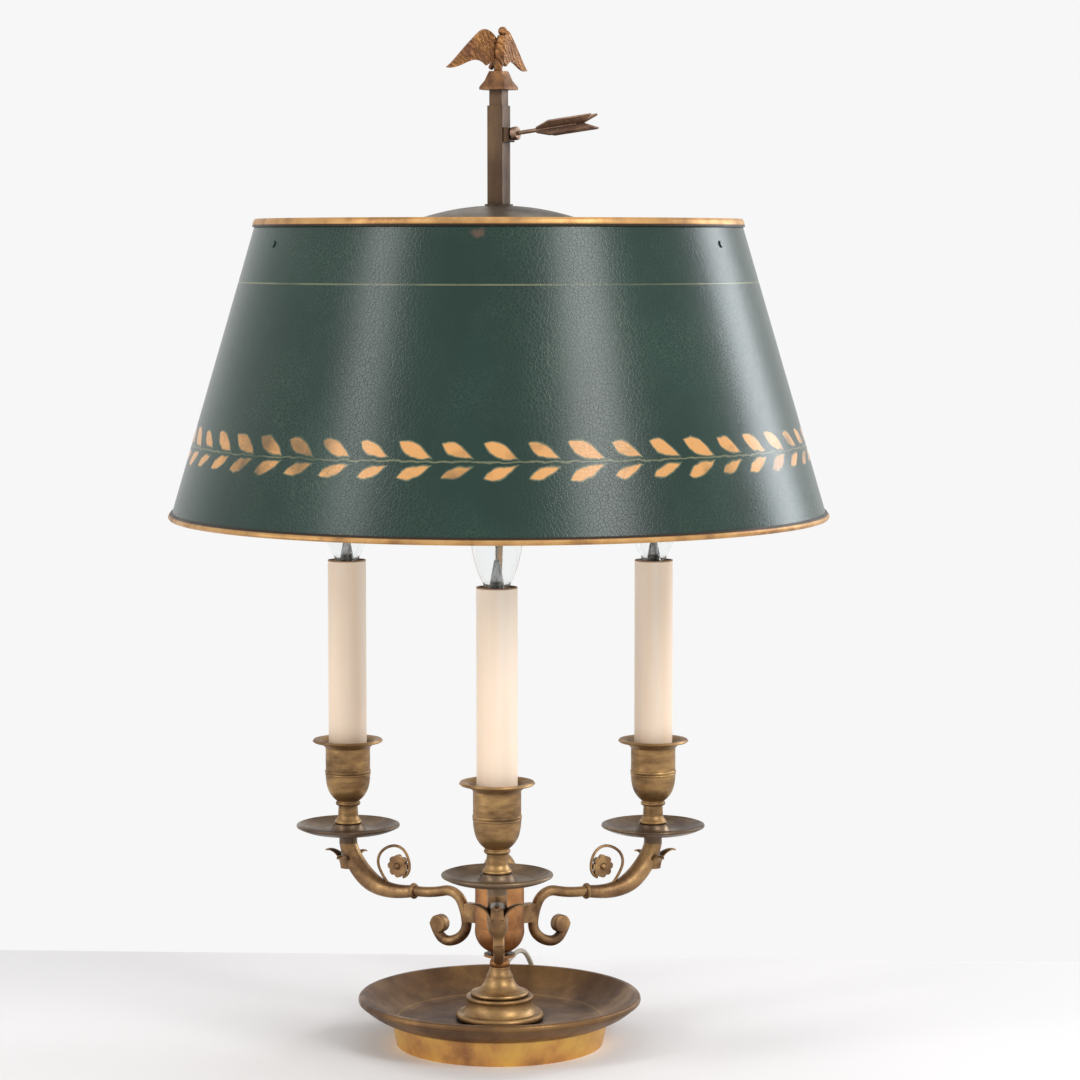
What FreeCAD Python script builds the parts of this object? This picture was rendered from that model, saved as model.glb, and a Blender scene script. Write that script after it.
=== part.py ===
# Bouillotte lamp: a dish base, an urn with three candle arms, and a tole shade that slides
# on a square bar and is held by an arrow-shaped key. Millimetres, Z up, the centre of the
# foot on the table at the origin, and one arm pointing at the viewer along -Y.
import FreeCAD, Part
import math
import os
import Sketcher

Vector = FreeCAD.Vector
Rotation = FreeCAD.Rotation
Placement = FreeCAD.Placement

doc = FreeCAD.newDocument("BouillotteLamp")
sheet = doc.addObject("Spreadsheet::Sheet", "Dims")

# Driving dimensions. Every name here is an alias in the sheet.
sizes = {
    # dish
    "footRadius": 67.0, "footTopRadius": 70.5, "footTop": 16.0, "dishWall": 2.2,
    "floorTop": 15.5, "floorRadius": 62.0, "bowlCurve": 42.0,
    "rimRadius": 92.3, "rimTop": 31.5, "rimWidth": 4.6, "rimBead": 2.3,
    # pedestal and neck
    "plinthRadius": 28.2, "plinthBead": 4.6, "plinthWaist": 21.0, "plinthWaistRise": 12.8,
    "stepRing": 21.5, "stepRingRise": 2.6, "upperRing": 18.4, "upperRingRise": 5.2,
    "neckRadius": 6.3, "neckTop": 50.0, "flareRadius": 8.6, "flareTop": 44.0,
    "knopRadius": 6.4, "flangeRadius": 10.2, "flangeThick": 1.5, "collarTop": 58.3,
    # urn and its cap
    "urnRadius": 15.9, "urnNeck": 5.7, "urnBowlTop": 76.0, "urnTop": 110.0, "urnWall": 3.2,
    "urnLip": 16.8, "urnLipRise": 3.4, "urnFoot": 8.4, "urnFootRise": 2.4, "urnCavityFloor": 72.0,
    "capRise": 14.5, "capShoulder": 9.5, "capShoulderRise": 9.0,
    # tie pipe, nut and washer under the floor
    "pipeRadius": 4.9, "pipeWall": 1.1, "pipeBottom": 5.0, "pipeTop": 96.0,
    "nutRadius": 9.0, "nutThick": 5.0, "washerRadius": 14.0, "washerThick": 1.2,
    # rod and square bar that carry the shade
    "rodRadius": 3.0, "rodFootRadius": 7.0, "rodFootRise": 6.0, "rodTop": 428.0,
    "barSide": 8.9, "barTop": 614.4, "squareTurn": -27.0,
    # finial
    "plinthSide": 21.2, "plinthTopSide": 10.5, "plinthRise": 11.8,
    "eagleTop": 654.2, "wingSpan": 37.0, "wingSweep": 11.5, "wingThick": 2.2, "eagleTurn": -45.0,
    # arms
    "armReach": 117.0, "scrollTube": 3.4, "scrollEye": 5.9, "hornTop": 120.5,
    "hornRadius": 6.1, "ringRadius": 4.7, "bracketWidth": 7.0, "bracketRise": 12.0,
    "bracketFoot": 77.0, "tendrilRadius": 0.95, "rosetteRadius": 7.6, "rosetteThick": 3.2,
    "screwRadius": 1.6, "screwHead": 3.0, "screwLength": 9.0, "nippleDepth": 9.0,
    # drip pan and candle cup, heights from the top of the arm
    "panRadius": 34.0, "panRimRise": 13.2, "panFloorRise": 8.6, "panWall": 1.6,
    "panCollar": 6.0, "panBoss": 9.6, "panBossRise": 13.0,
    "cupFootRadius": 8.6, "cupNeck": 6.35, "cupNeckTop": 25.5, "cupRing": 7.6,
    "cupBowl": 13.7, "cupBowlRise": 37.5, "cupBead": 15.9, "cupBarrel": 14.75,
    "cupBeadRise": 47.0, "cupFlareRise": 63.8, "cupLip": 23.3, "cupTopRise": 69.6,
    "cupBore": 12.85, "cupSeatRise": 35.6,
    # sleeve, socket and bulb
    "sleeveRadius": 12.6, "sleeveWall": 1.0, "sleeveTop": 309.5,
    "socketRadius": 10.4, "socketRise": 44.0, "socketBore": 6.6, "socketDepth": 22.0,
    "bulbCapRadius": 6.1, "bulbNeck": 8.4, "bulbRadius": 16.0, "bulbRise": 84.0,
    "glassWall": 0.8, "filamentRadius": 0.5,
    # shade
    "shadeBottomRadius": 209.5, "shadeBottom": 344.0, "shadeTopRadius": 154.0,
    "shadeTop": 532.0, "shadeWall": 0.8, "shadeRimRise": 4.3, "shadeRimThick": 1.7,
    "domeRadius": 50.0, "domeTop": 541.5, "domeDrop": 8.0, "domeThick": 1.2,
    "spiderWidth": 9.0, "spiderThick": 1.6, "spiderEnd": 521.0, "spiderTab": 8.0,
    "hubRadius": 9.0, "hubRise": 5.0, "rivetRadius": 2.2, "rivetThick": 0.8,
    "tubeSide": 10.8, "tubeTop": 604.5, "slideFit": 0.05,
    # key
    "keyHeight": 586.0, "keyRise": 7.0, "bossWidth": 9.2, "bossThick": 3.8,
    "keyShank": 2.0, "keyCollar": 4.3, "keyCollarLength": 4.2, "keyStem": 1.3,
    "keyStemLength": 13.5, "vaneLength": 41.0, "vaneWidth": 6.2, "vaneThick": 1.5,
    # cord and what is on it
    "cordRadius": 1.7, "bushRadius": 3.6, "bushLength": 20.0, "coilPitch": 4.08,
    "coilInner": 13.6, "switchLength": 50.0, "switchWidth": 19.0, "switchRise": 13.0,
    "rockerLength": 15.0, "rockerWidth": 7.0, "plugLength": 26.0, "plugWidth": 22.0,
    "plugRise": 13.0, "pinLength": 17.0, "pinWidth": 6.3, "pinThick": 1.5, "pinGap": 12.7,
    "seatGap": 0.05,
}
for row, (alias, number) in enumerate(sizes.items(), start=1):
    sheet.set("A%d" % row, alias)
    sheet.set("B%d" % row, str(number))
    sheet.setAlias("B%d" % row, alias)
doc.recompute()


# A size is a value together with the expression that gives it from the sheet.
class Size:
    def __init__(self, value, text):
        self.value = value
        self.text = text

    def __add__(self, other):
        other = asSize(other)
        return Size(self.value + other.value, "(%s + %s)" % (self.text, other.text))

    def __radd__(self, other):
        return asSize(other) + self

    def __sub__(self, other):
        other = asSize(other)
        return Size(self.value - other.value, "(%s - %s)" % (self.text, other.text))

    def __rsub__(self, other):
        return asSize(other) - self

    def __mul__(self, other):
        other = asSize(other)
        return Size(self.value * other.value, "(%s * %s)" % (self.text, other.text))

    def __rmul__(self, other):
        return asSize(other) * self

    def __truediv__(self, other):
        other = asSize(other)
        return Size(self.value / other.value, "(%s / %s)" % (self.text, other.text))

    def __neg__(self):
        return asSize(0) - self

    def __float__(self):
        return float(self.value)


def asSize(item):
    if isinstance(item, Size):
        return item
    return Size(float(item), repr(float(item)))


class Dimensions:
    def __getattr__(self, alias):
        return Size(float(sheet.get(alias)), "Dims.%s" % alias)


d = Dimensions()
parts = []


def n(item):
    return float(item)


def keep(thing, label, placement=None):
    thing.Label = label
    if placement is not None:
        thing.Placement = placement
    parts.append(thing)
    return thing


# One of a body's own planes or axes
def originFeature(body, role):
    for feature in body.Origin.OriginFeatures:
        if feature.Role == role:
            return feature


def newSketch(body, name, role, offset=None):
    sketch = body.newObject("Sketcher::SketchObject", name)
    sketch.AttachmentSupport = [(originFeature(body, role), "")]
    sketch.MapMode = "FlatFace"
    if offset is not None:
        sketch.AttachmentOffset = offset
    return sketch


# Pins one vertex of a sketch to its two sizes, measured from the sketch's origin.
def pinVertex(sketch, shape, end, x, y):
    for size, kind, axis in ((x, "DistanceX", -2), (y, "DistanceY", -1)):
        size = asSize(size)
        if size.text == "0.0":
            sketch.addConstraint(Sketcher.Constraint("PointOnObject", shape, end, axis))
            continue
        index = sketch.addConstraint(Sketcher.Constraint(kind, -1, 1, shape, end, size.value))
        if "Dims" in size.text:
            sketch.setExpression("Constraints[%d]" % index, size.text)


# An outline is a closed list of points. A point with a third value is reached by an arc of
# that radius: above 0 the arc bows to the left of its chord, below 0 to the right.
def drawOutline(sketch, outline):
    count = len(outline)
    flat = [Vector(n(p[0]), n(p[1]), 0) for p in outline]
    for index in range(count):
        start = flat[index - 1]
        end = flat[index]
        if len(outline[index]) == 3:
            radius = n(outline[index][2])
            chord = end - start
            left = Vector(-chord.y, chord.x, 0).normalize()
            sagitta = abs(radius) - math.sqrt(max(radius ** 2 - (chord.Length / 2) ** 2, 0))
            middle = (start + end) * 0.5 + left * (sagitta if radius > 0 else -sagitta)
            sketch.addGeometry(Part.Arc(start, middle, end), False)
        else:
            sketch.addGeometry(Part.LineSegment(start, end), False)
    # an arc always runs anticlockwise, so its two ends may be swapped
    for index in range(count):
        nextIndex = (index + 1) % count
        here = endAt(sketch, index, flat[index])
        there = endAt(sketch, nextIndex, flat[index])
        sketch.addConstraint(Sketcher.Constraint("Coincident", index, here, nextIndex, there))
        pinVertex(sketch, index, here, outline[index][0], outline[index][1])
        if len(outline[index]) == 3:
            radius = asSize(outline[index][2])
            if radius.value < 0:
                radius = -radius
            number = sketch.addConstraint(Sketcher.Constraint("Radius", index, radius.value))
            if "Dims" in radius.text:
                sketch.setExpression("Constraints[%d]" % number, radius.text)


def endAt(sketch, index, point):
    if (sketch.getPoint(index, 1) - point).Length < (sketch.getPoint(index, 2) - point).Length:
        return 1
    return 2


def turned(label, outline, placement=None):
    body = doc.addObject("PartDesign::Body", label + "_body")
    sketch = newSketch(body, label + "_profile", "XZ_Plane")
    drawOutline(sketch, outline)
    revolution = body.newObject("PartDesign::Revolution", label + "_turn")
    revolution.Profile = sketch
    revolution.ReferenceAxis = (sketch, ["V_Axis"])
    revolution.Angle = 360
    body.Tip = revolution
    return keep(body, label, placement)


# A straight prism: the outline lies in one of the origin planes and is extruded by length,
# from its own plane or evenly to both sides.
def extruded(label, role, outline, length, placement=None, middle=False, offset=None):
    body = doc.addObject("PartDesign::Body", label + "_body")
    sketch = newSketch(body, label + "_profile", role, offset)
    drawOutline(sketch, outline)
    pad = body.newObject("PartDesign::Pad", label + "_pad")
    pad.Profile = sketch
    pad.Midplane = middle
    pad.setExpression("Length", asSize(length).text)
    body.Tip = pad
    return keep(body, label, placement)


def squareOutline(side):
    half = side / 2
    return [(half, half), (-half, half), (-half, -half), (half, -half)]


# Cuts a square hole right through the middle of a body, along Z.
def squareBore(body, name, side, bottom, length):
    offset = Placement(Vector(0, 0, n(bottom)), Rotation())
    sketch = newSketch(body, name + "_square", "XY_Plane", offset)
    sketch.setExpression("AttachmentOffset.Base.z", asSize(bottom).text)
    drawOutline(sketch, squareOutline(side))
    pocket = body.newObject("PartDesign::Pocket", name + "_pocket")
    pocket.Profile = sketch
    pocket.Reversed = True
    pocket.setExpression("Length", asSize(length).text)
    body.Tip = pocket


def solidFeature(label, shape, placement=None):
    feature = doc.addObject("Part::Feature", label + "_form")
    feature.Shape = shape
    return keep(feature, label, placement)


def turn(degrees):
    return Placement(Vector(0, 0, 0), Rotation(Vector(0, 0, 1), degrees))


# Dish with its open foot band and the two beads of its rim
def makeDish():
    bore = d.pipeRadius + d.seatGap
    floorUnder = d.floorTop - d.dishWall
    rimInner = d.rimRadius - d.rimWidth
    beadWaist = d.rimRadius - d.rimBead / 3
    outline = [
        (bore, d.floorTop),
        (d.floorRadius, d.floorTop),
        (rimInner, d.rimTop, -d.bowlCurve),
        (rimInner + d.rimBead, d.rimTop),
        (beadWaist, d.rimTop - d.rimBead * 0.8, d.rimBead * 0.8),
        (rimInner + d.rimBead, d.rimTop - d.rimBead * 2, d.rimBead * 0.9),
        (d.footTopRadius, d.footTop, d.bowlCurve),
        (d.footRadius, 0),
        (d.footRadius - d.dishWall, 0),
        (d.footTopRadius - d.dishWall * 2, floorUnder),
        (bore, floorUnder),
    ]
    turned("base_dish", outline)


# Stepped bell of the pedestal, turned in one piece and bored for the pipe
def makePedestal():
    bore = d.pipeRadius + d.seatGap
    foot = d.floorTop
    waist = foot + d.plinthWaistRise
    ring = waist + d.stepRingRise
    upper = waist + d.upperRingRise
    lift = d.plinthBead
    outline = [
        (bore, foot),
        (d.plinthRadius - lift / 4, foot),
        (d.plinthRadius - lift / 4, foot + lift, -(lift * 0.55)),
        (d.plinthRadius - lift * 0.8, foot + lift),
        (d.plinthWaist, waist, (d.plinthWaistRise - lift) * 1.3),
        (d.stepRing, waist),
        (d.stepRing, ring, -d.stepRingRise * 0.8),
        (d.upperRing, ring),
        (d.upperRing, upper, -d.stepRingRise * 0.8),
        (d.upperRing * 0.92, upper),
        (d.flareRadius, d.flareTop, (d.flareTop - upper) * 1.2),
        (d.neckRadius, d.neckTop, (d.neckTop - d.flareTop) * 2),
        (bore, d.neckTop),
    ]
    turned("pedestal", outline)


# Knop and thin flange between the pedestal and the urn
def makeNeckKnop():
    bore = d.pipeRadius + d.seatGap
    flangeUnder = d.collarTop - d.flangeThick
    waist = flangeUnder - d.flangeThick
    outline = [
        (bore, d.neckTop),
        (d.knopRadius - 0.6, d.neckTop),
        (d.knopRadius - 0.6, waist - 1, -(waist - 1 - d.neckTop) * 0.8),
        (d.knopRadius - 0.8, waist),
        (d.flangeRadius - d.flangeThick, flangeUnder, d.flangeRadius * 0.5),
        (d.flangeRadius, flangeUnder),
        (d.flangeRadius, d.collarTop),
        (bore, d.collarTop),
    ]
    turned("neck_knop", outline)


# Urn: rounded below, straight-sided above, hollow for the wires
def makeUrn():
    bore = d.pipeRadius + d.seatGap
    neckTop = d.collarTop + d.urnFootRise * 0.6
    footTop = d.collarTop + d.urnFootRise
    lipBottom = d.urnTop - d.urnLipRise
    outline = [
        (bore, d.collarTop),
        (d.urnNeck, d.collarTop),
        (d.urnNeck, neckTop),
        (d.urnFoot, footTop),
        (d.urnRadius, d.urnBowlTop, -(d.urnBowlTop - footTop) * 0.95),
        (d.urnRadius, lipBottom),
        (d.urnLip, lipBottom + d.urnLipRise * 0.3),
        (d.urnLip, d.urnTop - d.urnLipRise * 0.2, -d.urnLipRise * 0.5),
        (d.urnRadius - 0.4, d.urnTop),
        (d.urnRadius - d.urnWall, d.urnTop),
        (d.urnRadius - d.urnWall, d.urnCavityFloor + 2),
        (d.urnRadius - d.urnWall - 2, d.urnCavityFloor),
        (bore, d.urnCavityFloor),
    ]
    urn = turned("urn_body", outline)
    # three holes for the screws that hold the arms
    sketch = newSketch(urn, "urn_screw_circle", "YZ_Plane")
    screwHeight = d.bracketFoot + d.bracketRise / 2
    circle = Part.Circle(Vector(0, n(screwHeight), 0), Vector(0, 0, 1), n(d.screwRadius + d.seatGap))
    sketch.addGeometry(circle, False)
    pinVertex(sketch, 0, 3, 0, screwHeight)
    radius = d.screwRadius + d.seatGap
    index = sketch.addConstraint(Sketcher.Constraint("Radius", 0, radius.value))
    sketch.setExpression("Constraints[%d]" % index, radius.text)
    hole = urn.newObject("PartDesign::Pocket", "urn_screw_hole")
    hole.Profile = sketch
    hole.Reversed = True
    hole.setExpression("Length", (d.urnRadius * 1.5).text)
    pattern = urn.newObject("PartDesign::PolarPattern", "urn_screw_holes")
    pattern.Originals = [hole]
    pattern.Axis = (originFeature(urn, "Z_Axis"), [""])
    pattern.Angle = 360
    pattern.Occurrences = armCount
    urn.Tip = pattern
    urn.Placement = turn(armAngles[0])


def makeUrnCap():
    bore = d.rodRadius + d.seatGap
    outline = [
        (bore, d.urnTop),
        (d.urnRadius - 0.4, d.urnTop),
        (d.urnRadius - 0.4, d.urnTop + 1.6),
        (d.capShoulder, d.urnTop + d.capShoulderRise, d.urnRadius),
        (d.rodRadius + 1.6, d.urnTop + d.capRise, -d.urnRadius),
        (bore, d.urnTop + d.capRise),
    ]
    turned("urn_cap", outline)


# Threaded pipe that ties dish, pedestal and urn together, with its nut and washer
def makeTie():
    inner = d.pipeRadius - d.pipeWall
    turned("tie_pipe", [(inner, d.pipeBottom), (d.pipeRadius, d.pipeBottom),
                        (d.pipeRadius, d.pipeTop), (inner, d.pipeTop)])
    bore = d.pipeRadius + d.seatGap
    washerTop = d.floorTop - d.dishWall
    washerBottom = washerTop - d.washerThick
    turned("floor_washer", [(bore, washerBottom), (d.washerRadius, washerBottom),
                            (d.washerRadius, washerTop), (bore, washerTop)])
    nutBottom = washerBottom - d.nutThick
    nut = turned("floor_nut", [(bore, nutBottom), (d.nutRadius, nutBottom),
                               (d.nutRadius, washerBottom), (bore, washerBottom)])
    # six flats: three bars of metal are left when the corners go
    offset = Placement(Vector(0, 0, n(nutBottom)), Rotation())
    sketch = newSketch(nut, "nut_flats", "XY_Plane", offset)
    sketch.setExpression("AttachmentOffset.Base.z", nutBottom.text)
    corner = d.nutRadius * 0.94
    outer = d.nutRadius * 1.4
    edge = [(corner * math.cos(math.pi * k / 3), corner * math.sin(math.pi * k / 3)) for k in range(6)]
    drawOutline(sketch, edge)
    ring = Part.Circle(Vector(0, 0, 0), Vector(0, 0, 1), n(outer))
    index = sketch.addGeometry(ring, False)
    sketch.addConstraint(Sketcher.Constraint("Coincident", index, 3, -1, 1))
    number = sketch.addConstraint(Sketcher.Constraint("Radius", index, n(outer)))
    sketch.setExpression("Constraints[%d]" % number, outer.text)
    flats = nut.newObject("PartDesign::Pocket", "nut_flats_cut")
    flats.Profile = sketch
    flats.Reversed = True
    flats.setExpression("Length", d.nutThick.text)
    nut.Tip = flats


# Round rod from the urn up into the shade, and the square bar that the shade slides on
def makeStem():
    foot = d.pipeTop
    outline = [
        (0, foot),
        (d.rodFootRadius, foot),
        (d.rodFootRadius, foot + d.rodFootRise),
        (d.rodRadius, foot + d.rodFootRise),
        (d.rodRadius, d.rodTop),
        (0, d.rodTop),
    ]
    turned("centre_rod", outline)
    body = extruded("guide_bar", "XY_Plane", squareOutline(d.barSide), d.barTop - d.rodTop,
                    turn(n(d.squareTurn)), offset=Placement(Vector(0, 0, n(d.rodTop)), Rotation()))
    body.Group[-2].setExpression("AttachmentOffset.Base.z", d.rodTop.text)


armCount = 3
armAngles = [270.0, 150.0, 30.0]


def circleWire(centre, direction, radius):
    return Part.Wire([Part.makeCircle(radius, centre, direction)])


# The arc that leaves a point in a given direction and ends at another point
def tangentArc(start, direction, end):
    chord = end - start
    across = chord - direction * chord.dot(direction)
    if across.Length < 1e-6:
        return Part.LineSegment(start, end).toShape(), direction
    across.normalize()
    radius = chord.Length ** 2 / (2 * chord.dot(across))
    centre = start + across * radius
    toStart = (start - centre).normalize()
    toEnd = (end - centre).normalize()
    toMiddle = (toStart + toEnd).normalize()
    if chord.dot(direction) < 0:
        toMiddle = toMiddle * -1
    edge = Part.Arc(start, centre + toMiddle * radius, end).toShape()
    axis = toStart.cross(direction).normalize()
    return edge, axis.cross(toEnd).normalize()


# Arcs through a list of points, each arc tangent to the one before it
def tangentArcs(points, startDirection):
    edges = []
    direction = Vector(startDirection).normalize()
    for start, end in zip(points[:-1], points[1:]):
        edge, direction = tangentArc(start, direction, end)
        edges.append(edge)
    return edges, direction


def pipeSolid(edges, startDirection, radius):
    wire = Part.Wire(edges)
    start = edges[0].Vertexes[0].Point
    if len(edges) > 1:
        ends = [v.Point for v in edges[1].Vertexes]
        if min((start - p).Length for p in ends) < 1e-6:
            start = edges[0].Vertexes[1].Point
    shell = Part.BRepOffsetAPI.MakePipeShell(wire)
    shell.add(circleWire(start, startDirection, radius))
    shell.build()
    shell.makeSolid()
    return shell.shape()


# A point of the arm by its share of the arm's reach and of the height of the horn's top
def armPoint(outShare, upShare):
    return Vector(n(d.armReach) * outShare, 0, n(d.hornTop) * upShare)


# One cast arm, drawn in the XZ plane with +X outward: a C scroll with its eye, an S curve up
# to the bead, and the leaf-wrapped horn that rises to the drip pan
def armCasting():
    tube = n(d.scrollTube)
    eye = n(d.scrollEye)
    eyeMiddle = armPoint(0.390, 0.609)
    scroll = [armPoint(*shares) for shares in (
        (0.426, 0.618), (0.390, 0.547), (0.325, 0.520), (0.244, 0.558), (0.214, 0.639), (0.244, 0.740),
        (0.359, 0.792), (0.556, 0.772))]
    firstHeading = Vector(-0.28, 0, -0.96)
    edges, last = tangentArcs(scroll, firstHeading)
    body = pipeSolid(edges, firstHeading, tube)
    wideEye = tube * 2.1
    volute = Part.makeCylinder(eye, wideEye, eyeMiddle - Vector(0, wideEye / 2, 0), Vector(0, 1, 0))
    volute = volute.makeFillet(eye * 0.2, [e for e in volute.Edges if abs(e.Length - 2 * math.pi * eye) < 0.1])
    body = body.fuse(volute)
    # the horn swells from the bead to the pan, each section square to its centre line: place,
    # slope in degrees and share of the horn's radius
    horn = n(d.hornRadius)
    sections = []
    for outShare, upShare, slope, share in (
            (0.551, 0.772, -8, 0.66), (0.650, 0.760, -3, 0.74), (0.752, 0.765, 10, 0.88), (0.846, 0.798, 32, 1.04),
            (0.923, 0.863, 52, 1.06), (0.976, 0.938, 70, 1.0), (1, 1, 90, 0.99)):
        heading = Vector(math.cos(math.radians(slope)), 0, math.sin(math.radians(slope)))
        sections.append(circleWire(armPoint(outShare, upShare), heading, horn * share))
    body = body.fuse(Part.makeLoft(sections, True, False))
    ring = n(d.ringRadius)
    bead = Part.makeTorus(ring * 0.8, ring * 0.32, armPoint(0.560, 0.771), Vector(0.99, 0, -0.12))
    body = body.fuse(bead)
    # curled tips of the leaf at the top of the horn, one outward and two to the sides: offsets
    # out and down, half width, half thickness, all by the horn's radius, and slope
    leafSections = []
    for out, down, half, thick, slope in (
            (0.55, 2.46, 0.69, 0.25, 70), (1.15, 1.39, 0.59, 0.20, 50), (2.0, 0.98, 0.43, 0.15, 10),
            (2.9, 1.05, 0.15, 0.08, -10)):
        wire = Part.Wire([Part.Ellipse(Vector(0, 0, 0), horn * half, horn * thick).toShape()])
        wire.Placement = Placement(Vector(horn * out, 0, -horn * down),
                                   Rotation(Vector(0, 1, 0), 90 - slope) * Rotation(Vector(0, 0, 1), 90))
        leafSections.append(wire)
    leaf = Part.makeLoft(leafSections, True, False)
    for angle, drop in ((0, 0), (100, horn / 4), (-100, horn / 4)):
        copy = leaf.copy()
        copy.Placement = Placement(armPoint(1, 1) - Vector(0, 0, drop), Rotation(Vector(0, 0, 1), angle))
        body = body.fuse(copy)
    # bracket block against the urn, hollowed to its round side, and the screw hole
    wide = n(d.bracketWidth)
    rise = n(d.bracketRise)
    low = n(d.bracketFoot)
    block = Part.makeBox(armPoint(0.214, 0).x, wide, rise, Vector(0, -wide / 2, low))
    urnSide = Part.makeCylinder(n(d.urnRadius), n(d.urnTop))
    body = body.fuse(block.cut(urnSide))
    hole = Part.makeCylinder(n(d.screwRadius + d.seatGap), n(d.urnRadius - d.urnWall + d.screwLength),
                             Vector(0, 0, low + rise / 2), Vector(1, 0, 0))
    body = body.cut(hole)
    # room for the pipe in the top of the horn
    depth = n(d.nippleDepth)
    pipe = Part.makeCylinder(n(d.pipeRadius + d.seatGap), depth, armPoint(1, 1) - Vector(0, 0, depth))
    return body.cut(pipe).removeSplitter()


# Thin curl that springs from the arm and ends in a rosette
def tendrilForm():
    wire = n(d.tendrilRadius)
    points = [armPoint(*shares) for shares in (
        (0.718, 0.785), (0.791, 0.880), (0.774, 0.971), (0.695, 1.009), (0.612, 0.974), (0.590, 0.893),
        (0.632, 0.841))]
    firstHeading = Vector(0.75, 0, 0.66)
    edges, last = tangentArcs(points, firstHeading)
    curl = pipeSolid(edges, firstHeading, wire)
    radius = n(d.rosetteRadius)
    thick = n(d.rosetteThick)
    centre = armPoint(0.663, 0.900)
    disc = Part.makeCylinder(radius * 0.8, thick, centre - Vector(0, thick / 2, 0), Vector(0, 1, 0))
    petals = 8
    for k in range(petals):
        angle = 2 * math.pi * k / petals
        out = Vector(math.cos(angle), 0, math.sin(angle)) * radius * 0.68
        petal = Part.makeCylinder(radius * 0.32, thick * 0.9, centre + out - Vector(0, thick * 0.45, 0),
                                  Vector(0, 1, 0))
        disc = disc.fuse(petal)
    for side in (-1, 1):
        button = Part.makeSphere(radius * 0.3)
        button.Placement = Placement(centre + Vector(0, side * thick * 0.45, 0), Rotation())
        disc = disc.fuse(button)
    return curl.fuse(disc).removeSplitter()


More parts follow.
